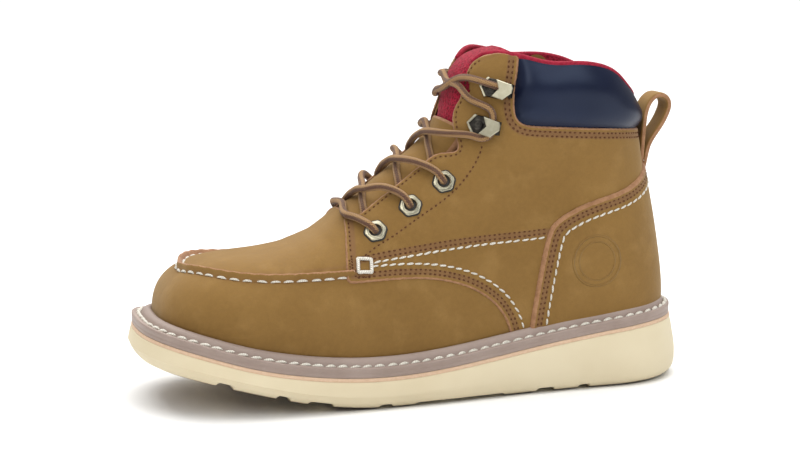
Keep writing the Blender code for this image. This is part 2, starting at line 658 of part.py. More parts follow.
def flat_outline(name, loops, half):
    """2D curve with holes, half the thickness extruded each way, as a mesh"""
    cu = bpy.data.curves.new(name, "CURVE")
    cu.dimensions = "2D"
    cu.fill_mode = "BOTH"
    cu.extrude = half * MM
    for pts in loops:
        sp = cu.splines.new("POLY")
        sp.points.add(len(pts) - 1)
        for p, q in zip(sp.points, pts):
            p.co = (q[0] * MM, q[1] * MM, 0, 1)
        sp.use_cyclic_u = True
    return solid_from_curve(name, cu)


def solid_from_curve(name, cu, matrix=None):
    ob = bpy.data.objects.new(name + "_curve", cu)
    bpy.context.scene.collection.objects.link(ob)
    if matrix:
        ob.matrix_world = matrix
    bpy.context.view_layer.update()
    deps = bpy.context.evaluated_depsgraph_get()
    mesh = bpy.data.meshes.new_from_object(ob.evaluated_get(deps))
    mesh.name = name
    bm = bmesh.new()
    bm.from_mesh(mesh)
    bmesh.ops.remove_doubles(bm, verts=bm.verts, dist=1e-6)
    face_out(bm)
    bm.to_mesh(mesh)
    bm.free()
    mesh.transform(ob.matrix_world)
    bpy.data.objects.remove(ob, do_unlink=True)
    return mesh


def polygon(radius, count, turn=0.0):
    return [(radius * math.cos(2 * math.pi * k / count + turn), radius * math.sin(2 * math.pi * k / count + turn))
            for k in range(count)]


def make_eyelets():
    mesh = flat_outline("eyelet", [polygon(6.2, 6), polygon(2.7, 12)], 0.65)
    for side, tag in ((1, "lat"), (-1, "med")):
        for number, q, d in EYELETS:
            ob = place("eyelet_%s_%s" % (tag, number), mesh.copy(), "brass", smooth=False)
            ob.matrix_world = frame_at(at_depth(q, d), side, 0.65 + 0.5)


def make_hook_mesh():
    """hexagonal base, a neck at its rear edge and a cap bent over to the rear"""
    bm = bmesh.new()
    mesh = bpy.data.meshes.new("hook")
    bmesh.ops.create_cone(bm, cap_ends=True, segments=6, radius1=5.8 * MM, radius2=5.8 * MM, depth=1.2 * MM)
    bm.to_mesh(mesh)
    bm.free()
    base = bpy.data.objects.new("hook_base", mesh)
    CUTTERS.objects.link(base)
    extra = []
    for name, size, at, segs in (("hook_neck", (2.4, 6.0, 4.6), (3.0, 0, 2.0), 4),
                                 ("hook_cap", (5.2, 5.2, 1.5), (6.4, 0, 4.6), 6)):
        bm = bmesh.new()
        if segs == 4:
            bmesh.ops.create_cube(bm, size=MM)
            bmesh.ops.scale(bm, vec=size, verts=bm.verts)
        else:
            bmesh.ops.create_cone(bm, cap_ends=True, segments=6, radius1=size[0] * MM, radius2=(size[0] - 0.7) * MM,
                                  depth=size[2] * MM)
        bmesh.ops.translate(bm, vec=Vector(at) * MM, verts=bm.verts)
        m = bpy.data.meshes.new(name)
        bm.to_mesh(m)
        bm.free()
        ob = bpy.data.objects.new(name, m)
        CUTTERS.objects.link(ob)
        ob.hide_render = True
        ob.display_type = "WIRE"
        extra.append(ob)
        mod = base.modifiers.new(name, "BOOLEAN")
        mod.operation = "UNION"
        mod.object = ob
    bpy.context.view_layer.update()
    deps = bpy.context.evaluated_depsgraph_get()
    out = bpy.data.meshes.new_from_object(base.evaluated_get(deps))
    for ob in [base] + extra:
        bpy.data.objects.remove(ob, do_unlink=True)
    out.name = "hook"
    return out


def make_hooks():
    mesh = make_hook_mesh()
    for side, tag in ((1, "lat"), (-1, "med")):
        for number, q, d in HOOKS:
            m = frame_at(at_depth(q, d), side, 0.6 + 0.5)
            ob = place("hook_%s_%s" % (tag, number), mesh.copy(), "steel", smooth=False)
            ob.matrix_world = m


LOOP = {"s": [17.6, 14.6, 10.5, 6.6, 4.6, 5.6, 9.4, 14.2, 18.2, 20.0, 20.4, 20.3, 19.6],
        "z": [116.5, 121, 128, 136, 145, 152.5, 157.2, 157.8, 154, 147, 138, 129, 120.5]}
LOOP_W, LOOP_T = 16.0, 2.2


def make_pull_loop():
    """a strap folded to a loop behind the collar: outline in the side view, extruded across"""
    pts, _ = path(LOOP, 28)
    t = np.gradient(pts, axis=0)
    t /= np.linalg.norm(t, axis=1, keepdims=True)
    n = np.stack([t[:, 1], -t[:, 0]], -1)
    inner = pts + n * LOOP_T / 2
    outer = pts - n * LOOP_T / 2
    # sewn end: the two legs join in a short tab under the loop
    tab = np.array([(19.0, 113.6), (17.2, 113.2)])
    cu = bpy.data.curves.new("pull_loop", "CURVE")
    cu.dimensions = "2D"
    cu.fill_mode = "BOTH"
    cu.extrude = LOOP_W / 2 * MM
    hull = [outer, inner] if abs(area(outer)) > abs(area(inner)) else [inner, outer]
    loops = [np.concatenate([hull[0], tab]), hull[1]]
    for loop in loops:
        sp = cu.splines.new("POLY")
        sp.points.add(len(loop) - 1)
        for p, q in zip(sp.points, loop):
            p.co = (q[0] * MM, q[1] * MM, 0, 1)
        sp.use_cyclic_u = True
    turn = Matrix(((-1, 0, 0, ORIGIN_S * MM), (0, 0, 1, ORIGIN_W * MM), (0, 1, 0, 0), (0, 0, 0, 1)))
    mesh = solid_from_curve("pull_loop", cu, turn)
    place("pull_loop", mesh, "nubuck")


def area(p):
    x, y = p[:, 0], p[:, 1]
    return 0.5 * float(np.sum(x * np.roll(y, -1) - y * np.roll(x, -1)))


def tube_mesh(name, pts, radius):
    cu = bpy.data.curves.new(name, "CURVE")
    cu.dimensions = "3D"
    cu.bevel_depth = radius * MM
    cu.bevel_resolution = 2
    cu.use_fill_caps = True
    sp = cu.splines.new("POLY")
    sp.points.add(len(pts) - 1)
    for p, q in zip(sp.points, world(pts)):
        p.co = (*q, 1)
    return solid_from_curve(name, cu)


def strand(q0, half0, side0, q1, half1, side1, lift, count=7):
    """centre line from one side of the throat to the other, lift above the last"""
    t = np.linspace(0, 1, count)
    q = q0 + (q1 - q0) * t
    w = side0 * half0 + (side1 * half1 - side0 * half0) * t
    sz = over_ridge(q, np.abs(w))
    h = lift(t) if callable(lift) else np.full(count, float(lift))
    lat, med = skin(sz, 1, h), skin(sz, -1, h)
    p = np.where(w[:, None] >= 0, lat, med)
    p[:, 1] = np.where(np.abs(w) < 1e-6, middle(sz[:, 0], sz[:, 1]), p[:, 1])
    return p


def make_laces():
    """bar at the foot of the throat and a crossing between each pair of rows, resting clear of the tongue"""
    place("lace_bar", tube_mesh("lace_bar", strand(138.5, 23, 1, 138.5, 23, -1, LACE_R + 0.9), LACE_R), "lace")
    rows = [135.3, 110.5, 88.5, 61.5, 40.5]
    for k in range(4):
        lo, hi = rows[k] - 3.0, rows[k + 1] + 3.0
        reach = 21.0 if k < 2 else 15.0
        meshes = [tube_mesh("strand", strand(lo, 12, sd, hi, reach, -sd, LACE_R + 0.9), LACE_R) for sd in (1, -1)]
        first = bpy.data.objects.new("first", meshes[0])
        other = bpy.data.objects.new("other", meshes[1])
        for ob in (first, other):
            CUTTERS.objects.link(ob)
        mod = first.modifiers.new("join", "BOOLEAN")
        mod.operation = "UNION"
        mod.object = other
        bpy.context.view_layer.update()
        deps = bpy.context.evaluated_depsgraph_get()
        mesh = bpy.data.meshes.new_from_object(first.evaluated_get(deps))
        for ob in (first, other):
            bpy.data.objects.remove(ob, do_unlink=True)
        place("lace_cross_%d" % (k + 1), mesh, "lace")


make_sole()
make_upper()
make_counter()
make_collar_pad()
make_tongue()
make_eyelets()
make_hooks()
make_pull_loop()
make_laces()
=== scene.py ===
"""Wedge sole work boot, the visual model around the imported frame.

Lengths in the tables are millimetres. Shoe coordinates as in the part: s runs forward from the back of the
heel, w to the outer (lateral) side, z up from the floor. The toe points to -X and the outer side to -Y.
"""
import bpy
import bmesh
import math
import numpy as np
from mathutils import Matrix, Vector

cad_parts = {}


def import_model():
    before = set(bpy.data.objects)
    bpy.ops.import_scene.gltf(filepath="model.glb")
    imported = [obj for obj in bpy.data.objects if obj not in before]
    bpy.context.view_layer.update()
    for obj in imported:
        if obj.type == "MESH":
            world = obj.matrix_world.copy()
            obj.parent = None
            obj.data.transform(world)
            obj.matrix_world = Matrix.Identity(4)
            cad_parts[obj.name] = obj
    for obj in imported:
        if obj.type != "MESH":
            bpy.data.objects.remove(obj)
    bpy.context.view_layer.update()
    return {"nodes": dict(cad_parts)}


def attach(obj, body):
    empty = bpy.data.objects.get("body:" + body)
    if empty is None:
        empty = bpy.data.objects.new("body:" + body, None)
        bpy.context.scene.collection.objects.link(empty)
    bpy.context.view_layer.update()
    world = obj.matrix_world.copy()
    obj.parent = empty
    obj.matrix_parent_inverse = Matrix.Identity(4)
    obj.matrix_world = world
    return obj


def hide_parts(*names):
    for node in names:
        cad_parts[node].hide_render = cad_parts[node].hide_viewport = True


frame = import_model()

# ------------------------------------------------------------------ the last, as in the part

MM = 0.001
ORIGIN_S = 154.0          # the model's origin lies this far forward of the heel's back
ORIGIN_W = 1.0
WALL = 2.2                # leather and lining of the upper
GAP = 0.35                # between touching pieces
WELT_H = 5.6              # side of the welt
MID_H = 1.6               # thin layer under the welt
INSOLE_H = 6.0
COUNTER_T = 1.7
PAD_T = 2.6
TONGUE_T = 4.2
LACE_R = 2.0
R_TOE, R_BACK = 52.0, 40.0     # how far the toe and heel roundings reach in plan

# ------------------------------------------------------------------ tables
# height of the welt's outer top edge along the shoe
WELT_TOP = {"s": [0, 30, 55, 84, 114, 143, 171, 199, 225, 251, 275, 303],
            "z": [40.3, 39.0, 36.6, 32.9, 28.6, 24.8, 22.6, 23.0, 25.9, 31.0, 37.6, 44.6]}
# underside of the wedge: level from heel to ball, then toe spring
TREAD = {"s": [170, 180, 190, 200, 225, 251, 275, 297, 310],
         "z": [0.0, 0.0, 0.25, 1.1, 5.2, 11.6, 17.6, 22.0, 24.2]}
# back of the last
BACK = {"z": [10, 30, 44, 62, 76, 90, 104, 118, 136, 155, 190],
        "s": [13.5, 12.2, 11.6, 13.0, 15.1, 17.5, 20.1, 22.6, 25.2, 27.6, 28.4]}
# front of the toe box
TOE = {"z": [10, 30, 45, 57, 70, 90],
       "s": [292.5, 293.4, 293.4, 293.0, 292.0, 289.5]}
# ridge line: down the shin, over the instep, along the vamp to past the toe
RIDGE = {"s": [112, 118.5, 127, 134, 139.5, 148, 160, 173, 186, 197, 207, 219, 233, 248, 264, 280, 300],
         "z": [205, 190, 176, 162.5, 149, 137.5, 127.5, 117.5, 106.8, 96, 88, 82.3, 78.6, 77.1, 76.8, 76.8, 76.5]}
# depth of the shoulder under the ridge, by distance q along it
SHOULDER = {"q": [0, 40, 75, 110, 135, 160, 200, 240, 280],
            "depth": [47, 47, 48, 50, 47, 40, 36, 34, 34]}
# half widths of the last: columns are stations s, a row for each height z
STATIONS = [12, 45, 80, 120, 160, 200, 240, 290]
LATERAL = [(15, [33, 34, 35.5, 39.5, 44, 46.5, 46, 40]),
           (35, [34, 35, 36.5, 40, 45, 48, 47.5, 41.5]),
           (50, [35, 36, 37, 39.5, 44.5, 49, 49, 42.5]),
           (65, [35, 36, 36.8, 38.5, 42.5, 47.5, 48.5, 42.5]),
           (82, [34, 35, 36, 37, 40, 45, 46.5, 42]),
           (100, [33, 34, 35.5, 36.5, 38.5, 43, 45, 43]),
           (120, [33, 34, 35.5, 36, 37, 40, 43, 43]),
           (140, [33, 34, 35.5, 36, 37, 39, 42, 43]),
           (160, [33.5, 34.5, 36, 36.5, 37.5, 39, 42, 43]),
           (190, [34, 35, 36.5, 37, 38, 39, 42, 43])]
MEDIAL = [(15, [33, 32.5, 31.5, 31.5, 35.5, 42.5, 45.5, 46.5]),
          (35, [34, 33.5, 32.5, 32.5, 36.5, 43.5, 46.5, 48]),
          (50, [35, 34.5, 34, 34.5, 38, 44.5, 48, 49]),
          (65, [35, 35, 35, 35.5, 38, 43.5, 47.5, 48.5]),
          (82, [34, 35, 35.5, 36, 37, 41, 45, 47]),
          (100, [33, 34, 35.5, 36, 36.5, 39, 42, 43]),
          (120, [33, 34, 35.5, 36, 36.5, 38, 41, 43]),
          (140, [33, 34, 35.5, 36, 37, 39, 42, 43]),
          (160, [33.5, 34.5, 36, 36.5, 37.5, 39, 42, 43]),
          (190, [34, 35, 36.5, 37, 38, 39, 42, 43])]
# top line of the collar
COLLAR = {"s": [24, 27, 32, 38, 44, 50, 58, 72, 86, 95, 103, 110, 116, 121, 126],
          "z": [150.5, 153, 157, 161.5, 166.5, 170.3, 173.2, 175, 175.2, 177, 179, 180.6, 181.2, 180.8, 180]}
# half width of the throat opening, by distance q along the ridge
THROAT = {"q": [22, 26, 34, 39, 52, 60, 66, 70, 73.5, 77, 84, 110, 130, 136, 139.5],
          "half": [19, 16.5, 14.6, 15.2, 17.2, 16.2, 18, 23, 26.5, 25, 21.5, 21, 20.5, 17, 9]}
# welt and sole stand out past the upper
OVERHANG = {"s": [0, 40, 90, 150, 200, 250, 285, 305],
            "out": [6.4, 7.0, 7.6, 8.2, 8.6, 9.2, 9.9, 10.7]}
# heel counter's front and top edge, collar pad's lower and front edge
COUNTER_FRONT = {"s": [98.2, 97.2, 94.5, 91.2, 88.6], "z": [33.5, 41, 57.7, 73, 84]}
COUNTER_TOP = {"s": [22.2, 30.1, 39.8, 56.4, 71.4, 81.8, 88.6], "z": [117.5, 112.8, 107.2, 102.6, 97.6, 92.2, 84]}
PAD_FOOT = {"s": [24.6, 38.6, 63.9, 85.6, 99, 103.9], "z": [136.6, 138.3, 140.2, 141.7, 143, 145.2]}
PAD_FRONT = {"s": [103.9, 106.3, 106.2, 105.3, 103.6], "z": [145.2, 149.5, 156.4, 166.8, 178.6]}
# shallow cuts across the tread: start, end, depth
TREAD_CUTS = [("heel_1", 65, 71.5, 2.4), ("heel_2", 86, 96, 2.4), ("arch", 115, 166, 1.5),
              ("ball_1", 179, 186, 2.0), ("ball_2", 211, 224, 2.0), ("toe_1", 234, 240.5, 2.4),
              ("toe_2", 263, 270.5, 2.6)]
# hardware on each side: distance q along the ridge and depth under it
EYELETS = [("1", 135.3, 14.8), ("2", 110.5, 18.4), ("3", 88.5, 20.2)]
HOOKS = [("1", 61.5, 16.0), ("2", 40.5, 15.0)]

# ------------------------------------------------------------------ curves


def spline(xs, ys):
    """natural cubic spline through the rows of a table"""
    xs, ys = np.asarray(xs, float), np.asarray(ys, float)
    n, h = len(xs), np.diff(xs)
    m = np.zeros((n, n))
    r = np.zeros((n,) + ys.shape[1:])
    m[0, 0] = m[-1, -1] = 1
    for i in range(1, n - 1):
        m[i, i - 1], m[i, i], m[i, i + 1] = h[i - 1], 2 * (h[i - 1] + h[i]), h[i]
        r[i] = 6 * ((ys[i + 1] - ys[i]) / h[i] - (ys[i] - ys[i - 1]) / h[i - 1])
    k = np.linalg.solve(m, r)

    def at(x):
        x = np.clip(np.asarray(x, float), xs[0], xs[-1])
        i = np.clip(np.searchsorted(xs, x) - 1, 0, n - 2)
        a, b, hh = (xs[i + 1] - x) / h[i], (x - xs[i]) / h[i], h[i]
        if ys.ndim > 1:
            a, b, hh = a[..., None], b[..., None], hh[..., None]
        return a * ys[i] + b * ys[i + 1] + ((a ** 3 - a) * k[i] + (b ** 3 - b) * k[i + 1]) * hh * hh / 6
    return at


def path(table, count):
    """evenly spaced points on a smooth curve through the table's (s, z) rows, and its length"""
    p = np.stack([table["s"], table["z"]], -1).astype(float)
    t = np.concatenate([[0], np.cumsum(np.hypot(*np.diff(p, axis=0).T))])
    fine = spline(t, p)(np.linspace(0, t[-1], 400))
    length = np.concatenate([[0], np.cumsum(np.hypot(*np.diff(fine, axis=0).T))])
    u = np.linspace(0, length[-1], count)
    return np.stack([np.interp(u, length, fine[:, 0]), np.interp(u, length, fine[:, 1])], -1), length[-1]


def smoothstep(x, a, b):
    t = np.clip((x - a) / (b - a), 0, 1)
    return t * t * (3 - 2 * t)


welt_top = spline(WELT_TOP["s"], WELT_TOP["z"])
spring = spline(TREAD["s"], TREAD["z"])
back_s = spline(BACK["z"], BACK["s"])
toe_s = spline(TOE["z"], TOE["s"])
shoulder = spline(SHOULDER["q"], SHOULDER["depth"])
collar_z = spline(COLLAR["s"], COLLAR["z"])
overhang = spline(OVERHANG["s"], OVERHANG["out"])
ridge_pts, ridge_len = path(RIDGE, 361)
throat_half = spline(THROAT["q"], THROAT["half"])


def tread(s):
    """underside of the wedge: exactly level up to the ball"""
    s = np.asarray(s, float)
    return np.where(s > 181.0, np.maximum(spring(s), 0.0), 0.0)


def sheet(rows):
    """half width as a smooth function of s and z"""
    columns = spline([r[0] for r in rows], np.array([r[1] for r in rows], float))
    ws = np.asarray(STATIONS, float)
    n, h = len(ws), np.diff(ws)
    m, r = np.zeros((n, n)), np.zeros((n, n))
    m[0, 0] = m[-1, -1] = 1
    for i in range(1, n - 1):
        m[i, i - 1], m[i, i], m[i, i + 1] = h[i - 1], 2 * (h[i - 1] + h[i]), h[i]
        r[i, i - 1], r[i, i], r[i, i + 1] = 6 / h[i - 1], -6 / h[i] - 6 / h[i - 1], 6 / h[i]
    bend = np.linalg.solve(m, r)

    def at(s, z):
        y = columns(z)
        k = y @ bend.T
        x = np.clip(s, ws[0], ws[-1])
        i = np.clip(np.searchsorted(ws, x) - 1, 0, n - 2)
        a = (ws[i + 1] - x) / h[i]
        b = 1 - a

        def pick(arr, j):
            return np.take_along_axis(arr, j[..., None], -1)[..., 0]
        return (a * pick(y, i) + b * pick(y, i + 1)
                + ((a ** 3 - a) * pick(k, i) + (b ** 3 - b) * pick(k, i + 1)) * h[i] ** 2 / 6)
    return at


lateral_w, medial_w = sheet(LATERAL), sheet(MEDIAL)

# ------------------------------------------------------------------ the last


def ridge_distance(s, z):
    """depth under the ridge line and distance q along it, of side-view points"""
    s, z = np.asarray(s, float), np.asarray(z, float)
    shape = s.shape
    p = np.stack([s.ravel(), z.ravel()], -1)
    coarse = ridge_pts[::6]
    step = ridge_len / (len(ridge_pts) - 1)
    near = (p * p).sum(1)[:, None] + (coarse * coarse).sum(1)[None] - 2 * p @ coarse.T
    k = np.clip(near.argmin(1)[:, None] * 6 + np.arange(-7, 7)[None], 0, len(ridge_pts) - 2)
    a = ridge_pts[k]
    e = ridge_pts[k + 1] - a
    r = p[:, None] - a
    t = np.clip((r * e).sum(-1) / (e * e).sum(-1), 0, 1)
    gap = r - t[..., None] * e
    d2 = (gap * gap).sum(-1)
    b = d2.argmin(1)
    j = np.arange(len(b))
    q = (k[j, b] + t[j, b]) * step
    inside = e[j, b, 0] * r[j, b, 1] - e[j, b, 1] * r[j, b, 0] < 0
    return (np.sqrt(d2[j, b]) * np.where(inside, 1, -1)).reshape(shape), q.reshape(shape)


def roundness(s):
    """exponent of the cross-section: round shaft and instep, squarer vamp and toe"""
    return 2.15 + 0.65 * smoothstep(s, 175, 235)


def rim(s, z):
    """0 deep inside the side view's outline, 1 on it, and the exponent there"""
    s, z = np.asarray(s, float), np.asarray(z, float)
    m = roundness(s)
    d, q = ridge_distance(s, z)
    top = np.maximum(1 - d / shoulder(q), 0)
    toe = np.maximum(1 - (toe_s(z) - s) / R_TOE, 0)
    heel = np.maximum(1 - (s - back_s(z)) / (R_BACK + 6 * smoothstep(z, 100, 150)), 0)
    return top ** m + toe ** m + heel ** 2.25, m


def middle(s, z):
    return (lateral_w(s, z) - medial_w(s, z)) / 2


def width(s, z, side):
    """w of the last's surface; side is +1 lateral, -1 medial"""
    edge, m = rim(s, z)
    half = (lateral_w(s, z) + medial_w(s, z)) / 2
    return middle(s, z) + side * half * np.maximum(1 - edge, 0) ** (1 / m)


def level(p):
    """implicit form of the last: 0 on its surface"""
    s, w, z = p[..., 0], p[..., 1], p[..., 2]
    edge, m = rim(s, z)
    half = (lateral_w(s, z) + medial_w(s, z)) / 2
    return (np.abs(w - middle(s, z)) / half) ** m + edge - 1


def skin(sz, side, off=0.0):
    """points (s, w, z) on the last over side-view points, moved out by off"""
    s, z = sz[..., 0], sz[..., 1]
    p = np.stack([s, width(s, z, side), z], -1)
    if np.ndim(off) == 0 and off == 0.0:
        return p
    e = 0.05
    g = np.stack([level(p + e * v) - level(p - e * v) for v in np.eye(3)], -1)
    g /= np.linalg.norm(g, axis=-1, keepdims=True)
    return p + g * (off[..., None] if np.ndim(off) else off)


def over_ridge(q, half):
    """side-view point where the surface is half a width away from its middle line, beside ridge distance q"""
    q = np.asarray(q, float)
    u = q / ridge_len * (len(ridge_pts) - 1)
    i = np.clip(u.astype(int), 0, len(ridge_pts) - 2)
    f = (u - i)[..., None]
    p = ridge_pts[i] * (1 - f) + ridge_pts[i + 1] * f
    t = ridge_pts[np.minimum(i + 2, len(ridge_pts) - 1)] - ridge_pts[np.maximum(i - 1, 0)]
    t = t / np.linalg.norm(t, axis=-1, keepdims=True)
    n = np.stack([t[..., 1], -t[..., 0]], -1)          # into the shoe
    m = roundness(p[..., 0])
    full = (lateral_w(p[..., 0], p[..., 1]) + medial_w(p[..., 0], p[..., 1])) / 2
    d = shoulder(q) * (1 - np.maximum(1 - np.clip(half / full, 0, 0.999) ** m, 0) ** (1 / m))
    return p + n * d[..., None]


def end_of_section(fz, low, high, front):
    """s where the outline crosses the height function fz, at the toe (front) or the back"""
    for _ in range(40):
        mid = (low + high) / 2
        out = rim(np.array([mid]), np.array([fz(mid)]))[0][0] > 1
        if out == front:
            high = mid
        else:
            low = mid
    return (low + high) / 2


def plan(lift, count):
    """lateral and medial outline of the last at welt height + lift, both from heel to toe"""
    def fz(s):
        return float(welt_top(s)) + lift
    s0 = end_of_section(fz, 5.0, 40.0, False)
    s1 = end_of_section(fz, 260.0, 305.0, True)
    s = s0 + (s1 - s0) * (1 - np.cos(np.pi * np.linspace(0, 1, count))) / 2
    z = welt_top(s) + lift
    return s, width(s, z, 1), width(s, z, -1)


def ring(lift, out, count=33):
    """closed outline in plan, moved out by out(s): lateral heel to toe, then medial toe to heel"""
    s, lat, med = plan(lift, count)
    p = np.concatenate([np.stack([s, lat], -1), np.stack([s[::-1], med[::-1]], -1)[1:-1]])
    t = np.roll(p, -1, 0) - np.roll(p, 1, 0)
    t /= np.linalg.norm(t, axis=1, keepdims=True)
    n = np.stack([-t[:, 1], t[:, 0]], -1)
    return p + n * np.broadcast_to(out(p[:, 0]) if callable(out) else out, len(p))[:, None]

# ------------------------------------------------------------------ tables of the looks
# side-view curves of the panels, named columns, heel side last
FRONT = {"s": [193.5, 195.3, 196.1, 197.6, 199.2, 200.3, 200.7, 200.3, 197.6, 191, 183, 173.8, 163, 153.2, 142.1, 133.6, 125.7,
               118.5, 113.6, 110.6, 108.6],
         "z": [101.5, 96.0, 92.5, 86.5, 79.0, 72.5, 68.2, 66.2, 65.3, 65.4, 65.6, 65.7, 65.3, 64.2, 61.7, 58.7, 54.4, 48.6, 42.3,
               36.0, 26.0]}
COUNTER = {"s": [100.6, 98.4, 97.4, 94.5, 91.2, 88.3, 86.0, 81.7, 71.4, 56.4, 39.9, 30.1, 24.2, 21.6],
           "z": [24.0, 35.0, 41.5, 57.6, 73.0, 83.6, 88.6, 92.4, 97.8, 102.6, 107.4, 112.4, 116.6, 118.8]}
PAD = {"s": [24.2, 37.7, 63.4, 85.2, 97.0, 101.6, 104.6, 106.2, 106.5, 106.0, 104.8, 103.2, 101.8],
       "z": [136.6, 138.2, 140.2, 141.6, 142.6, 143.6, 145.6, 149.2, 156.3, 163.0, 168.5, 178.6, 189.0]}
TOPLINE = {"s": [23.0, 27.2, 32, 38, 44, 50, 58, 72, 86, 95, 103, 108, 112, 116.2, 119.6, 122.2, 124.6, 127.0],
           "z": [150.0, 153.2, 157, 161.5, 166.5, 170.3, 173.2, 175, 175.2, 177, 179.4, 180.4, 181.0, 180.8, 179.8, 177.9, 174.8,
                 170.0]}
# half width of the throat, by distance q along the ridge
EYESTAY = {"q": [8, 20, 24, 28, 31, 36, 44, 52, 57, 61, 64.5, 68, 71, 73.2, 75, 77.2, 80, 84, 90, 100, 112, 124, 131, 135,
                 137.6, 139.2, 141, 148],
           "half": [26, 24, 20.4, 17.0, 15.3, 14.4, 15.4, 17.2, 16.4, 16.6, 18.2, 21.0, 24.2, 26.4, 26.6, 25.2, 23.0, 21.4,
                    21.2, 20.9, 21.0, 21.0, 21.0, 20.2, 18.2, 15.8, 14.6, 14.2]}
# moc seam in plan, lateral half from the quarter to the toe; the medial half is its mirror
MOC = {"s": [168, 184, 200.2, 220.4, 239.1, 253.9, 263.0, 270.6, 275.4, 277.8, 278.3],
       "w": [38.6, 39.4, 39.6, 38.9, 37.2, 34.2, 29.6, 21.8, 13.2, 5.5, 0.0]}
STRAIGHT = {"s": [191.5, 185.7, 166.7, 146.0, 115.9, 97.0, 88.5], "z": [73.6, 74.5, 76.9, 79.1, 81.2, 82.2, 82.8]}
OUTER_ROW = {"s": [195.6, 189.8, 183.8, 175.0, 166.4, 155.0, 144.3, 135.7, 131.1, 128.3, 125.9, 124.4, 123.4],
             "z": [75.4, 78.0, 81.8, 86.6, 91.8, 98.9, 105.7, 113.1, 118.4, 122.3, 126.5, 129.7, 133.0]}
ROWS, ACROSS = 190, 210
PATCH_S = 70.0
HEM = 1.6                 # the leather reaches this far below the welt's top edge
# outer faces of the layers, over the last
VAMP, PLUG, QUARTER, COUNTER_OUT = -0.55, -0.45, 0.55, 2.2

rng = np.random.default_rng(7)

# ------------------------------------------------------------------ materials


class Nodes:
    """short hand for building a material's nodes"""

    def __init__(self, name):
        self.mat = bpy.data.materials.new(name)
        self.mat.use_nodes = True
        self.t = self.mat.node_tree
        self.b = self.t.nodes["Principled BSDF"]
        self.co = self.t.nodes.new("ShaderNodeTexCoord").outputs["Object"]

    def set(self, **values):
        for key, value in values.items():
            name = {"colour": "Base Color", "roughness": "Roughness", "metallic": "Metallic", "coat": "Coat Weight",
                    "coat_rough": "Coat Roughness", "sheen": "Sheen Weight", "sheen_rough": "Sheen Roughness",
                    "sheen_tint": "Sheen Tint", "specular": "Specular IOR Level", "sss": "Subsurface Weight",
                    "sss_scale": "Subsurface Scale", "specular_tint": "Specular Tint"}[key]
            self.b.inputs[name].default_value = (*value, 1.0) if isinstance(value, tuple) else value
        return self

    def link(self, a, b):
        self.t.links.new(a, b)

    def noise(self, scale, detail=3.0, rough=0.55, stretch=None, distort=0.0):
        n = self.t.nodes.new("ShaderNodeTexNoise")
        n.inputs["Scale"].default_value = scale
        n.inputs["Detail"].default_value = detail
        n.inputs["Roughness"].default_value = rough
        n.inputs["Distortion"].default_value = distort
        self.link(self.mapped(stretch), n.inputs["Vector"])
        return n.outputs["Fac"]

    def mapped(self, stretch):
        if stretch is None:
            return self.co
        m = self.t.nodes.new("ShaderNodeMapping")
        m.inputs["Scale"].default_value = stretch
        self.link(self.co, m.inputs["Vector"])
        return m.outputs["Vector"]

    def cells(self, scale, feature="F1", stretch=None, source=None):
        n = self.t.nodes.new("ShaderNodeTexVoronoi")
        n.feature = feature
        n.inputs["Scale"].default_value = scale
        self.link(source if source is not None else self.mapped(stretch), n.inputs["Vector"])
        return n.outputs["Distance"]

    def attribute(self, name):
        n = self.t.nodes.new("ShaderNodeAttribute")
        n.attribute_name = name
        return n.outputs["Fac"]

    def math(self, op, a, b=None, c=None, clamp=False):
        n = self.t.nodes.new("ShaderNodeMath")
        n.operation = op
        n.use_clamp = clamp
        for k, v in enumerate((a, b, c)):
            if v is None:
                continue
            if isinstance(v, (int, float)):
                n.inputs[k].default_value = v
            else:
                self.link(v, n.inputs[k])
        return n.outputs[0]

    def span(self, v, a, b, lo=0.0, hi=1.0):
        n = self.t.nodes.new("ShaderNodeMapRange")
        n.interpolation_type = "SMOOTHSTEP"
        for k, x in zip(("From Min", "From Max", "To Min", "To Max"), (a, b, lo, hi)):
            n.inputs[k].default_value = x
        self.link(v, n.inputs["Value"])
        return n.outputs["Result"]

    def mix(self, f, a, b):
        n = self.t.nodes.new("ShaderNodeMix")
        n.data_type = "RGBA"
        for sock, v in ((n.inputs["Factor"], f), (n.inputs["A"], a), (n.inputs["B"], b)):
            pass
        colour = [s for s in n.inputs if s.type == "RGBA"]
        factor = n.inputs[0]
        for sock, v in ((factor, f), (colour[0], a), (colour[1], b)):
            if isinstance(v, (int, float)):
                sock.default_value = v
            elif isinstance(v, tuple):
                sock.default_value = (*v, 1.0)
            else:
                self.link(v, sock)
        return [s for s in n.outputs if s.type == "RGBA"][0]

    def colour(self, v):
        self.link(v, self.b.inputs["Base Color"])
        return self

    def rough(self, v):
        self.link(v, self.b.inputs["Roughness"])
        return self

    def bump(self, *heights):
        """(height, strength, distance in mm) laid over each other"""
        last = None
        for height, strength, distance in heights:
            n = self.t.nodes.new("ShaderNodeBump")
            n.inputs["Strength"].default_value = strength
            n.inputs["Distance"].default_value = distance * MM
            self.link(height, n.inputs["Height"])
            if last is not None:
                self.link(last, n.inputs["Normal"])
            last = n.outputs["Normal"]
        self.link(last, self.b.inputs["Normal"])
        return self

    def uv(self):
        n = self.t.nodes.new("ShaderNodeSeparateXYZ")
        tc = self.t.nodes.new("ShaderNodeUVMap")
        tc.uv_map = "UVMap"
        self.link(tc.outputs["UV"], n.inputs["Vector"])
        return n.outputs["X"], n.outputs["Y"]


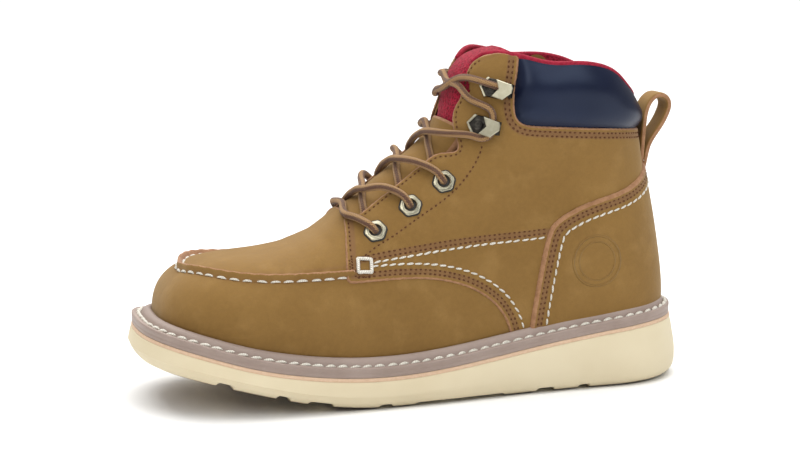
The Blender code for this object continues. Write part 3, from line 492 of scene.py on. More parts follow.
def nubuck(name, base, low, high, pressed, badge=None):
    m = Nodes(name)
    wide, mid = m.noise(17, 3), m.noise(62, 4, 0.6)
    fine, nap = m.noise(420, 4, 0.65), m.noise(2600, 2, 0.6)
    c = m.mix(m.span(wide, 0.36, 0.66), low, base)
    c = m.mix(m.math("MULTIPLY", m.span(mid, 0.48, 0.72), 0.55), c, high)
    c = m.mix(m.math("MULTIPLY", m.span(fine, 0.35, 0.62), 0.22), c, high)
    c = m.mix(m.math("MULTIPLY", m.span(nap, 0.42, 0.62), 0.28), c, tuple(x * 0.72 for x in base))
    # faint rubbed streaks where the nap lies another way
    rub = m.noise(26, 5, 0.7, (0.6, 0.6, 2.4), 1.2)
    c = m.mix(m.math("MULTIPLY", m.span(rub, 0.60, 0.74), 0.35), c, high)
    press = m.attribute("press")
    c = m.mix(m.math("MULTIPLY", press, 0.72), c, pressed)
    m.colour(c)
    m.rough(m.span(fine, 0.2, 0.8, 0.74, 0.94))
    m.set(sheen=0.22, sheen_rough=0.45, sheen_tint=(0.86, 0.72, 0.50), specular=0.22)
    heights = [(mid, 0.22, 1.0), (fine, 0.30, 0.35), (nap, 0.35, 0.12)]
    if badge:
        centre, radii = badge
        dist = m.t.nodes.new("ShaderNodeVectorMath")
        dist.operation = "DISTANCE"
        m.link(m.co, dist.inputs[0])
        dist.inputs[1].default_value = centre
        r = m.math("MULTIPLY", dist.outputs["Value"], 1000.0)
        total = None
        for radius, half, height in radii:
            ridge = m.math("SUBTRACT", r, radius)
            ridge = m.math("ABSOLUTE", ridge)
            ridge = m.span(ridge, half, half * 0.35, 0.0, height)
            total = ridge if total is None else m.math("ADD", total, ridge)
        heights.append((total, 1.0, 0.55))
    return m.bump(*heights).mat


def raw_edge(name, base, low):
    m = Nodes(name)
    fibre, fine = m.noise(300, 4, 0.7), m.noise(1800, 3, 0.7)
    c = m.mix(m.span(fibre, 0.3, 0.7), low, base)
    c = m.mix(m.math("MULTIPLY", m.span(fine, 0.5, 0.75), 0.35), c, tuple(min(1.0, x * 1.35) for x in base))
    m.colour(c)
    m.set(roughness=0.92, sheen=0.15, specular=0.2)
    return m.bump((fibre, 0.5, 0.5), (fine, 0.6, 0.2)).mat


def make_materials():
    mats = {}
    tan, dark, light = (0.234, 0.1285, 0.034), (0.203, 0.1085, 0.027), (0.288, 0.1665, 0.052)
    pressed = (0.192, 0.095, 0.045)
    mats["nubuck"] = nubuck("tan_nubuck", tan, dark, light, pressed)
    rings = [(13.6, 0.75, 1.0), (10.4, 0.5, 0.7), (0.0, 9.2, -0.55)]
    mats["counter"] = nubuck("tan_nubuck_counter", tan, dark, light, pressed,
                             badge=(tuple(float(x) for x in world(np.array([60.4, 38.0, 68.8]))), rings))
    mats["raw"] = raw_edge("raw_leather_edge", (0.375, 0.200, 0.104), (0.270, 0.135, 0.066))
    mats["raw_tan"] = raw_edge("raw_tan_edge", (0.36, 0.195, 0.083), (0.27, 0.140, 0.054))

    m = Nodes("navy_smooth_leather")
    pore, wide, grain = m.cells(900), m.noise(30, 3), m.noise(1500, 3)
    m.colour(m.mix(m.span(wide, 0.35, 0.7), (0.0052, 0.0075, 0.0215), (0.0080, 0.0115, 0.0305)))
    m.rough(m.span(wide, 0.3, 0.7, 0.34, 0.40))
    m.set(specular=0.34, specular_tint=(0.62, 0.74, 1.0))
    mats["navy"] = m.bump((pore, 0.22, 0.10), (grain, 0.18, 0.06)).mat

    m = Nodes("red_mesh_fabric")
    weave = m.cells(520, "F1")
    web = m.cells(520, "DISTANCE_TO_EDGE")
    wide = m.noise(40, 2)
    # painted shade: the middles of the cells, the mesh's holes, are a darker red for the shade that falls into them;
    # the edges are the yarn's own red
    c = m.mix(m.span(web, 0.03, 0.20), (0.340, 0.012, 0.034), (0.150, 0.004, 0.013))
    c = m.mix(m.math("MULTIPLY", m.span(wide, 0.4, 0.7), 0.25), c, (0.40, 0.030, 0.060))
    m.colour(c)
    m.set(roughness=0.85, sheen=0.12, sheen_rough=0.4, sheen_tint=(1.0, 0.45, 0.50), specular=0.2)
    mats["red"] = m.bump((weave, 0.9, 0.5)).mat

    m = Nodes("red_binding")
    rib, fine = m.noise(700, 2, 0.5, (1, 1, 1)), m.noise(2600, 2)
    m.colour(m.mix(m.span(rib, 0.35, 0.7), (0.23, 0.007, 0.022), (0.34, 0.014, 0.038)))
    m.set(roughness=0.8, sheen=0.12, sheen_tint=(1.0, 0.5, 0.52), specular=0.2)
    mats["binding"] = m.bump((rib, 0.5, 0.3), (fine, 0.4, 0.1)).mat

    m = Nodes("cream_wedge_foam")
    wide, fine, grit = m.noise(22, 3), m.noise(700, 3), m.noise(3200, 2)
    c = m.mix(m.span(wide, 0.35, 0.7), (0.642, 0.549, 0.371), (0.684, 0.595, 0.414))
    # painted shade: where the under attribute is high, on the tread's face, the foam is darkened to a dark brown for
    # the shade under the sole
    under = m.attribute("under")
    c = m.mix(under, c, (0.22, 0.155, 0.095))
    m.colour(c)
    m.set(roughness=0.62, specular=0.35, sss=0.0)
    mats["cream"] = m.bump((wide, 0.10, 0.8), (fine, 0.14, 0.25), (grit, 0.12, 0.08)).mat

    m = Nodes("peach_layer")
    fine = m.noise(500, 3)
    m.colour(m.mix(m.span(fine, 0.3, 0.7), (0.595, 0.405, 0.270), (0.645, 0.455, 0.315)))
    m.set(roughness=0.65, specular=0.3)
    mats["peach"] = m.bump((fine, 0.2, 0.2)).mat

    m = Nodes("taupe_welt_rubber")
    wide, fine, grit = m.noise(35, 4), m.noise(300, 4, 0.6, (1, 1, 3)), m.noise(2200, 2)
    c = m.mix(m.span(wide, 0.3, 0.7), (0.275, 0.205, 0.170), (0.335, 0.258, 0.220))
    c = m.mix(m.math("MULTIPLY", m.span(fine, 0.5, 0.8), 0.35), c, (0.37, 0.30, 0.26))
    m.colour(c)
    m.rough(m.span(wide, 0.3, 0.7, 0.46, 0.58))
    m.set(specular=0.4)
    mats["taupe"] = m.bump((fine, 0.14, 0.3), (grit, 0.15, 0.08)).mat

    def thread(name, light, dark, rough):
        m = Nodes(name)
        u, v = m.uv()
        ply = m.math("SINE", m.math("ADD", m.math("MULTIPLY", u, 2 * math.pi * 2), m.math("MULTIPLY", v, 2 * math.pi / 1.1)))
        fuzz = m.noise(3000, 2)
        # painted shade: the thread is darker in the grooves between its plies, where the ply height is low
        c = m.mix(m.span(ply, -1.0, 0.1), dark, light)
        c = m.mix(m.math("MULTIPLY", m.span(fuzz, 0.4, 0.7), 0.3), c, dark)
        m.colour(c)
        m.set(roughness=rough, specular=0.2)
        mats[name] = m.bump((ply, 0.7, 0.16), (fuzz, 0.4, 0.08)).mat
    thread("white_thread", (0.78, 0.75, 0.67), (0.57, 0.53, 0.45), 0.75)
    thread("brown_thread", (0.140, 0.056, 0.022), (0.070, 0.027, 0.011), 0.8)

    # round lace: gold and dark strands lengthwise, each crossed by the braid
    m = Nodes("striped_round_lace")
    u, v = m.uv()
    turn = m.math("ADD", m.math("MULTIPLY", u, 3.0), m.math("MULTIPLY", v, 0.012))
    stripe = m.math("SINE", m.math("MULTIPLY", turn, 2 * math.pi))
    braid_a = m.math("SINE", m.math("ADD", m.math("MULTIPLY", u, 2 * math.pi * 9), m.math("MULTIPLY", v, 2 * math.pi / 1.25)))
    braid_b = m.math("SINE", m.math("SUBTRACT", m.math("MULTIPLY", u, 2 * math.pi * 9), m.math("MULTIPLY", v, 2 * math.pi / 1.25)))
    braid = m.math("MAXIMUM", braid_a, braid_b)
    fuzz = m.noise(2800, 2)
    jag = m.math("ADD", stripe, m.math("MULTIPLY", braid_a, 0.30))
    c = m.mix(m.span(jag, -0.22, 0.18), (0.110, 0.045, 0.027), (0.385, 0.215, 0.084))
    # painted shade: the lace is darkened almost to black in the hollows between the braid's crossings
    c = m.mix(m.math("MULTIPLY", m.span(braid, 0.5, -0.6), 0.6), c, (0.045, 0.020, 0.012))
    c = m.mix(m.math("MULTIPLY", m.span(fuzz, 0.45, 0.7), 0.25), c, (0.46, 0.29, 0.14))
    m.colour(c)
    m.set(roughness=0.72, sheen=0.25, sheen_tint=(0.9, 0.75, 0.6), specular=0.3)
    mats["lace"] = m.bump((braid, 0.8, 0.32), (fuzz, 0.3, 0.08)).mat

    m = Nodes("pale_brass")
    scuff, fine = m.noise(260, 4, 0.6), m.noise(1500, 3)
    m.colour(m.mix(m.span(scuff, 0.35, 0.75), (0.400, 0.375, 0.275), (0.480, 0.455, 0.345)))
    m.rough(m.span(fine, 0.3, 0.7, 0.28, 0.36))
    m.set(metallic=1.0)
    mats["brass"] = m.bump((scuff, 0.04, 0.1)).mat

    m = Nodes("dark_gunmetal")
    scuff = m.noise(340, 4, 0.6)
    m.colour(m.mix(m.span(scuff, 0.4, 0.8), (0.030, 0.028, 0.025), (0.085, 0.078, 0.066)))
    m.rough(m.span(scuff, 0.3, 0.7, 0.30, 0.46))
    m.set(metallic=1.0)
    mats["gunmetal"] = m.bump((scuff, 0.12, 0.2)).mat

    m = Nodes("black_backing")
    grain = m.noise(900, 3)
    m.colour(m.mix(grain, (0.012, 0.010, 0.009), (0.028, 0.024, 0.021)))
    m.set(roughness=0.6)
    mats["black"] = m.bump((grain, 0.2, 0.1)).mat

    m = Nodes("insole_fabric")
    weave = m.cells(700)
    m.colour(m.mix(m.span(weave, 0.1, 0.6), (0.060, 0.050, 0.046), (0.020, 0.017, 0.016)))
    m.set(roughness=0.9, sheen=0.2)
    mats["insole"] = m.bump((weave, 0.6, 0.3)).mat
    return mats


# ------------------------------------------------------------------ meshes
def world(p):
    """shoe coordinates in mm to Blender's metres"""
    p = np.asarray(p, float)
    return np.stack([-(p[..., 0] - ORIGIN_S), -(p[..., 1] - ORIGIN_W), p[..., 2]], -1) * MM


def new_object(name, verts, faces, mats, index=None, attrs=None, uvs=None, sharp=None, slot="nubuck", replaces=()):
    """an object from shoe coordinates in mm; uvs has a row for each face corner"""
    mesh = bpy.data.meshes.new(name)
    mesh.from_pydata(world(verts).tolist(), [], [tuple(int(i) for i in f) for f in faces])
    for mat in mats:
        mesh.materials.append(mat)
    if index is not None:
        mesh.polygons.foreach_set("material_index", np.asarray(index, np.int32))
    for key, value in (attrs or {}).items():
        a = mesh.attributes.new(key, "FLOAT", "POINT")
        a.data.foreach_set("value", np.asarray(value, np.float32))
    if uvs is not None:
        layer = mesh.uv_layers.new(name="UVMap")
        layer.data.foreach_set("uv", np.asarray(uvs, np.float32).ravel())
    mesh.update()
    mesh.shade_smooth()
    if sharp:
        mesh.set_sharp_from_angle(angle=math.radians(sharp))
    ob = bpy.data.objects.new(name, mesh)
    bpy.context.scene.collection.objects.link(ob)
    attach(ob, "root")
    if replaces:
        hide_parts(*replaces)
    return ob


def outward(p):
    """unit normals of the last near points (s, w, z)"""
    e = 0.05
    g = np.stack([level(p + e * v) - level(p - e * v) for v in np.eye(3)], -1)
    return g / np.maximum(np.linalg.norm(g, axis=-1, keepdims=True), 1e-9)


def settle(p, rounds=5):
    """moves points onto the last along its normal"""
    e = 0.05
    for _ in range(rounds):
        g = np.stack([level(p + e * v) - level(p - e * v) for v in np.eye(3)], -1) / (2 * e)
        size = (g ** 2).sum(-1, keepdims=True)
        move = g * level(p)[..., None] / np.maximum(size, 1e-9)
        far = np.linalg.norm(move, axis=-1, keepdims=True)
        p = p - move * np.minimum(1, 3.0 / np.maximum(far, 1e-9))
    return p


def resample(p, step=None, count=None):
    """points spaced evenly along a polyline"""
    t = np.concatenate([[0], np.cumsum(np.linalg.norm(np.diff(p, axis=0), axis=1))])
    n = count or max(2, int(round(t[-1] / step)) + 1)
    u = np.linspace(0, t[-1], n)
    return np.stack([np.interp(u, t, p[:, k]) for k in range(p.shape[1])], -1)


def curve(table, keys=("s", "z"), step=0.5):
    """smooth curve through the table's rows, as a dense polyline"""
    p = np.stack([table[k] for k in keys], -1).astype(float)
    t = np.concatenate([[0], np.cumsum(np.linalg.norm(np.diff(p, axis=0), axis=1))])
    fine = spline(t, p)(np.linspace(0, t[-1], 1200))
    return resample(fine, step)


def distance(points, line):
    """distance of 3D points to a 3D polyline"""
    out = np.empty(len(points))
    sq = (line * line).sum(1)
    for i in range(0, len(points), 20000):
        p = points[i:i + 20000]
        k = (sq[None] - 2 * p @ line.T).argmin(1)
        best = np.full(len(p), 1e18)
        for j in (-1, 0):
            a = line[np.clip(k + j, 0, len(line) - 2)]
            e = line[np.clip(k + j, 0, len(line) - 2) + 1] - a
            t = np.clip(((p - a) * e).sum(1) / np.maximum((e * e).sum(1), 1e-12), 0, 1)
            best = np.minimum(best, ((p - a - e * t[:, None]) ** 2).sum(1))
        out[i:i + 20000] = np.sqrt(best)
    return out


def inside(points, outline):
    """which 2D points lie in a closed outline"""
    x, y = points[:, 0], points[:, 1]
    hit = np.zeros(len(points), bool)
    for a, b in zip(outline, np.roll(outline, -1, 0)):
        if a[1] == b[1]:
            continue
        cross = ((a[1] > y) != (b[1] > y)) & (x < (b[0] - a[0]) * (y - a[1]) / (b[1] - a[1]) + a[0])
        hit ^= cross
    return hit


def smin(a, b, k):
    """the smaller of two fields with a corner of radius about k"""
    h = np.clip(0.5 + 0.5 * (b - a) / k, 0, 1)
    return b * (1 - h) + a * h - k * h * (1 - h)


# ------------------------------------------------------------------ a dense copy of the last
def dense_last():
    hem = lambda s: welt_top(s) - HEM
    s_foot = end_of_section(lambda s: float(hem(s)), 260.0, 305.0, True)
    start = np.array([s_foot, float(hem(s_foot))])
    hub = np.array([232.0, 44.0])
    a0 = math.atan2(start[1] - hub[1], start[0] - hub[0])
    ang = np.linspace(a0, math.radians(88), 120)
    d = np.stack([np.cos(ang), np.sin(ang)], -1)
    low, high = np.full(120, 5.0), np.full(120, 90.0)
    for _ in range(36):
        mid = (low + high) / 2
        out = rim(hub[0] + d[:, 0] * mid, hub[1] + d[:, 1] * mid)[0] > 1
        high, low = np.where(out, mid, high), np.where(out, low, mid)
    toe = hub + d * low[:, None]
    q = ridge_distance(toe[-1:, 0], toe[-1:, 1])[1][0]
    qs = np.arange(q - 1.0, 15.0, -1.0)
    edge = np.concatenate([toe, over_ridge(qs, np.zeros(len(qs)))])
    up = np.linspace(0, 1, ROWS)
    run = np.concatenate([[0], np.cumsum(np.hypot(*np.diff(edge, axis=0).T))])
    run /= run[-1]
    front = np.stack([np.interp(up, run, edge[:, 0]), np.interp(up, run, edge[:, 1])], -1)
    t = np.linspace(0, 1, ACROSS)
    along = 0.45 * t + 0.55 * (1 - np.cos(np.pi * t)) / 2
    s_back = end_of_section(lambda s: float(hem(s)), 5.0, 40.0, False)
    z0, z1 = float(hem(s_back)), 156.6
    back = lambda u: np.stack([back_s(z0 + (z1 - z0) * u), z0 + (z1 - z0) * u], -1)
    s = np.linspace(float(back_s(z1)), 112.0, 80)
    top = np.concatenate([np.stack([s, collar_z(s) + 3.0], -1), edge[-1:]])
    top[0, 1] = z1
    grid = blend_patch(line_of(hem, s_back, start[0]), along_path(top), back, lambda u: front, along, up)
    lat, med = skin(grid, 1), skin(grid, -1)
    for half in (lat, med):
        half[:, (0, -1), 1] = middle(grid[:, (0, -1), 0], grid[:, (0, -1), 1])
    n = ROWS * ACROSS
    at = np.arange(n).reshape(ROWS, ACROSS)
    other = np.arange(n, n + ROWS * (ACROSS - 2)).reshape(ROWS, ACROSS - 2)
    other = np.concatenate([at[:, :1], other, at[:, -1:]], 1)
    p = np.concatenate([lat.reshape(-1, 3), med[:, 1:-1].reshape(-1, 3)])
    sz = np.concatenate([grid.reshape(-1, 2), grid[:, 1:-1].reshape(-1, 2)])
    side = np.concatenate([np.ones(n), -np.ones(ROWS * (ACROSS - 2))])

    def faces(step):
        r = np.arange(0, ROWS, step)
        c = np.arange(0, ACROSS, step)
        r, c = np.append(r[r < ROWS - 1], ROWS - 1), np.append(c[c < ACROSS - 1], ACROSS - 1)
        tris = []
        for ids, turn in ((at[np.ix_(r, c)], 1), (other[np.ix_(r, c)], -1)):
            a, b, cc, dd = ids[:-1, :-1], ids[:-1, 1:], ids[1:, 1:], ids[1:, :-1]
            one = np.linalg.norm(p[a] - p[cc], axis=-1) < np.linalg.norm(p[b] - p[dd], axis=-1)
            for m, quads in ((one, ((a, b, cc), (a, cc, dd))), (~one, ((a, b, dd), (b, cc, dd)))):
                for q in quads:
                    tri = np.stack([x[m] for x in q], -1)
                    tris.append(tri[:, ::turn])
        return np.concatenate(tris)
    normals = outward(p)
    tri = faces(1)
    # faces should look out of the shoe
    f = np.cross(p[tri[:, 1]] - p[tri[:, 0]], p[tri[:, 2]] - p[tri[:, 0]])
    if (f * normals[tri[:, 0]]).sum() < 0:
        tri, coarse = tri[:, ::-1], faces(2)[:, ::-1]
    else:
        coarse = faces(2)
    return {"p": p, "n": normals, "sz": sz, "side": side, "tri": tri, "coarse": coarse}


def blend_patch(bottom, top, back, front, along, up):
    """grid of side-view points between four edge curves (each a function of 0..1)"""
    a, b = along[None, :, None], up[:, None, None]
    corner = (bottom(np.array([0.0])), bottom(np.array([1.0])), top(np.array([0.0])), top(np.array([1.0])))
    return ((1 - b) * bottom(along)[None] + b * top(along)[None]
            + (1 - a) * back(up)[:, None] + a * front(up)[:, None]
            - (1 - a) * (1 - b) * corner[0] - a * (1 - b) * corner[1]
            - (1 - a) * b * corner[2] - a * b * corner[3])


def along_path(points):
    t = np.concatenate([[0], np.cumsum(np.hypot(*np.diff(points, axis=0).T))])
    t /= t[-1]
    return lambda u: np.stack([np.interp(u, t, points[:, 0]), np.interp(u, t, points[:, 1])], -1)


def line_of(fz, s0, s1):
    return lambda u: np.stack([s0 + (s1 - s0) * u, fz(s0 + (s1 - s0) * u)], -1)


LAST = dense_last()
MATS = make_materials()

# ------------------------------------------------------------------ fields: signed distance in mm to the panels' edges


def both_sides(line2d):
    return {1: skin(line2d, 1), -1: skin(line2d, -1)}


def signed(lines, within):
    """distance over the skin to a curve, given as a 3D line a side, positive where within is true"""
    d = np.empty(len(LAST["p"]))
    for side in (1, -1):
        m = LAST["side"] == side
        d[m] = distance(LAST["p"][m], lines[side])
    return np.where(within, d, -d)


def throat_line():
    half_at = spline(EYESTAY["q"], EYESTAY["half"])
    q = np.arange(8.0, 148.0, 0.5)
    return q, half_at(q)


q_th, half_th = throat_line()
throat_sz = over_ridge(q_th, half_th)


def throat_points(side, q=None, half=None):
    """3D points beside the ridge at a half width"""
    q = q_th if q is None else q
    half = half_th if half is None else half
    sz = over_ridge(q, half)
    return settle(np.stack([sz[:, 0], middle(sz[:, 0], sz[:, 1]) + side * half, sz[:, 1]], -1))


SZ = LAST["sz"]
beyond = over_ridge(q_th[::-1], half_th[::-1] * 0) + 0
n_out = np.stack([np.full(len(beyond), 40.0), np.full(len(beyond), 30.0)], -1)
in_throat = inside(SZ, np.concatenate([throat_sz, beyond + n_out]))
d_throat = signed({1: throat_points(1), -1: throat_points(-1)}, ~in_throat)

front_sz = curve(FRONT)
quarter_outline = np.concatenate([front_sz, [(108, 0), (-40, 0), (-40, 230), (150, 230), (170, 150)]])
in_quarter = inside(SZ, quarter_outline)
d_front = signed(both_sides(front_sz), in_quarter)

counter_sz = curve(COUNTER)
counter_outline = np.concatenate([counter_sz, [(-40, 122), (-40, 0), (100, 0)]])
d_counter = signed(both_sides(counter_sz), inside(SZ, counter_outline))

pad_sz = curve(PAD)
pad_outline = np.concatenate([pad_sz, [(90, 230), (-40, 230), (-40, 134)]])
d_pad = signed(both_sides(pad_sz), inside(SZ, pad_outline))

top_sz = curve(TOPLINE)
top_outline = np.concatenate([top_sz, [(127, 160), (260, 150), (330, 0), (-40, 0), (-40, 147)]])
d_top = signed(both_sides(top_sz), inside(SZ, top_outline))

moc_sw = curve(MOC, ("s", "w"))


def on_top(sw, side):
    """points of the upper side of the last over plan points"""
    s, w = sw[:, 0], sw[:, 1]
    low, high = np.full(len(s), 45.0), ridge_height(s)
    for _ in range(40):
        z = (low + high) / 2
        edge = width(s, z, side)
        wide = np.abs(edge - middle(s, z)) > w
        wide &= rim(s, z)[0] < 1
        low, high = np.where(wide, z, low), np.where(wide, high, z)
    z = (low + high) / 2
    return settle(np.stack([s, middle(s, z) + side * w, z], -1), 3)


def ridge_height(s):
    order = ridge_pts[np.argsort(ridge_pts[:, 0])]
    return np.interp(s, order[:, 0], order[:, 1])


moc = {side: on_top(moc_sw, side) for side in (1, -1)}
plan_pts = LAST["p"][:, :2].copy()
plan_pts[:, 1] -= middle(LAST["p"][:, 0], LAST["p"][:, 2])
plan_loop = np.concatenate([moc_sw, moc_sw[::-1] * [1, -1]])
in_plug = inside(plan_pts, plan_loop) & (LAST["p"][:, 2] > 55)
d_moc = signed(moc, in_plug)


def straight_distance():
    line = both_sides(curve(STRAIGHT))
    d = signed(line, np.ones(len(SZ), bool))
    return d


d_straight = straight_distance()
outer_sz = curve(OUTER_ROW)
d_outer = signed(both_sides(outer_sz), np.ones(len(SZ), bool))

# ------------------------------------------------------------------ soft creases and swellings
# side-view line, side, half width across, height (negative is a trough)
CREASES = [
    ([(206, 84), (209, 76), (214, 70)], 1, 3.0, -0.55),
    ([(213, 82), (217, 75), (223, 70)], 1, 3.6, 0.35),
    ([(206, 84), (209, 76), (214, 70)], -1, 3.0, -0.50),
    ([(222, 80), (226, 75)], 0, 3.2, -0.30),
    ([(207, 62), (190, 55), (172, 52)], 0, 6.0, -0.45),
    ([(212, 54), (196, 46), (176, 43)], 0, 5.0, 0.35),
    ([(142, 58), (160, 56), (178, 58)], 0, 5.0, 0.30),
    ([(118, 120), (100, 112), (84, 110)], 0, 7.0, -0.60),
    ([(120, 108), (100, 100), (86, 99)], 0, 6.0, 0.40),
    ([(74, 128), (56, 124), (36, 126)], 0, 6.0, -0.50),
    ([(60, 116), (44, 114), (32, 117)], 0, 5.0, 0.35),
    ([(150, 96), (134, 96), (118, 102)], 0, 6.0, -0.40),
    ([(246, 58), (262, 55), (276, 54)], 0, 8.0, 0.30),
    ([(52, 92), (60, 88), (70, 88)], 0, 5.0, -0.35),
]


def lift_at(p):
    """height of the creases and of a hand-lasted upper's slow unevenness at points of the last"""
    sz, side = p[:, (0, 2)], np.where(p[:, 1] >= middle(p[:, 0], p[:, 2]), 1, -1)
    out = np.zeros(len(p))
    for pts, on, wide, height in CREASES:
        line = resample(np.asarray(pts, float), 2.5)
        away = np.full(len(p), 1e9)
        for point in line:
            away = np.minimum(away, (sz[:, 0] - point[0]) ** 2 + (sz[:, 1] - point[1]) ** 2)
        out += height * np.exp(-away / wide ** 2) * (1.0 if on == 0 else (side == on))
    s, w, z = p.T
    out += 0.14 * np.sin(s * 0.071 + z * 0.053 + 1.3) * np.sin(z * 0.094 - w * 0.06) + 0.08 * np.sin(s * 0.19 + w * 0.13 + z * 0.11)
    return out


LIFT = lift_at(LAST["p"])

# ------------------------------------------------------------------ panels


def cut(v, t, col, value):
    """splits the triangles along the line where a column of v has the value"""
    f = v[:, col] - value
    f = np.where(np.abs(f) < 1e-7, 1e-7, f)
    pos = f > 0
    k = pos[t].sum(1)
    mixed = (k == 1) | (k == 2)
    if not mixed.any():
        return v, t
    keep, m = t[~mixed], t[mixed]
    p = pos[m]
    odd = np.where(p.sum(1) == 1, p.argmax(1), (~p).argmax(1))
    r = np.arange(len(m))
    a, b, c = (m[r, (odd + j) % 3] for j in range(3))
    pairs = np.sort(np.concatenate([np.stack([a, b], 1), np.stack([a, c], 1)]), 1)
    u, inv = np.unique(pairs, axis=0, return_inverse=True)
    inv = inv.ravel()
    w = f[u[:, 0]] / (f[u[:, 0]] - f[u[:, 1]])
    new = v[u[:, 0]] * (1 - w)[:, None] + v[u[:, 1]] * w[:, None]
    new[:, col] = value
    ab, ac = len(v) + inv[:len(m)], len(v) + inv[len(m):]
    t = np.concatenate([keep, np.stack([a, ab, ac], 1), np.stack([ab, b, c], 1), np.stack([ab, c, ac], 1)])
    return np.concatenate([v, new]), t


def panel(name, f, profile, base, lines, mats, raw=1.4, marks=None, press=None, lift=None, coarse=False, slot="nubuck",
          replaces=(), only=0, more_cuts=()):
    """a sheet of leather over the last where the field f is positive. profile(f, columns) gives the height of its
    face over the last, base is the height of its back. lines are the values of f where edges must run. only is 1 for the outer half of the
    boot, -1 for the inner half and 0 for both"""
    marks = marks or {}
    names = ["f", "lift"] + list(marks)
    cols = [f, LIFT if lift is None else np.broadcast_to(lift, len(f))] + [marks[k] for k in marks]
    v = np.column_stack([LAST["p"], LAST["n"]] + cols)
    t = LAST["coarse" if coarse else "tri"]
    t = t[(f[t] > -0.5).any(1)]
    if only:
        t = t[np.where((LAST["side"][t] < 0).any(1), -1, 1) == only]
    used, inv = np.unique(t, return_inverse=True)
    v, t = v[used], inv.reshape(t.shape)
    F = 6
    for value in lines:
        v, t = cut(v, t, F, value)
    for key, value in more_cuts:
        v, t = cut(v, t, 6 + names.index(key), value)
    # the cuts leave every triangle on one side of the edge
    t = t[v[t, F].mean(1) > 0]
    used, inv = np.unique(t, return_inverse=True)
    v, t = v[used], inv.reshape(t.shape)
    col = {k: v[:, 6 + i] for i, k in enumerate(names)}
    height = profile(col["f"], col) + col["lift"] * smoothstep(col["f"], 0.0, 3.0)
    rim_pts = col["f"] < 1e-6
    low = np.broadcast_to(base, len(v)) + col["lift"] * smoothstep(col["f"], 0.0, 3.0)
    n = v[:, 3:6] / np.linalg.norm(v[:, 3:6], axis=1, keepdims=True)
    face = v[:, :3] + n * np.where(rim_pts, low, height)[:, None]
    back = v[:, :3] + n * low[:, None]
    twin = np.arange(len(v))
    twin[~rim_pts] = len(v) + np.arange((~rim_pts).sum())
    verts = np.concatenate([face, back[~rim_pts]])
    under = twin[t][:, ::-1]
    # walls where the sheet ends at the border of the last's own grid
    e = np.concatenate([t[:, (0, 1)], t[:, (1, 2)], t[:, (2, 0)]])
    key = np.sort(e, 1)
    _, first, count = np.unique(key, axis=0, return_index=True, return_counts=True)
    wall = []
    for a, b in e[first[count == 1]]:
        if rim_pts[a] and rim_pts[b]:
            continue
        quad = [b, a, twin[a], twin[b]]
        quad = [x for i, x in enumerate(quad) if x not in quad[:i]]
        if len(quad) > 2:
            wall.append(quad)
    faces = t.tolist() + under.tolist() + wall
    centre = col["f"][t].mean(1)
    index = np.concatenate([(centre < raw).astype(int), np.zeros(len(under), int), np.ones(len(wall), int)])
    pressed = press(col) if press else np.zeros(len(v))
    pressed = np.concatenate([pressed, pressed[~rim_pts]])
    return new_object(name, verts, faces, mats, index, {"press": pressed}, sharp=62, slot=slot, replaces=replaces)


def steps(xs, ys):
    return lambda f: np.interp(f, xs, ys)


def edge_noise(scale=1.0):
    """small unevenness of a cut edge"""
    s, w, z = LAST["p"].T
    return scale * (0.10 * np.sin(s * 1.9 + z * 2.3) + 0.07 * np.sin(s * 4.1 - z * 3.3 + w) + 0.05 * np.sin(z * 7.3 + s * 5.9))


def dip(x, centre, wide, depth):
    return -depth * np.exp(-((x - centre) / wide) ** 2)


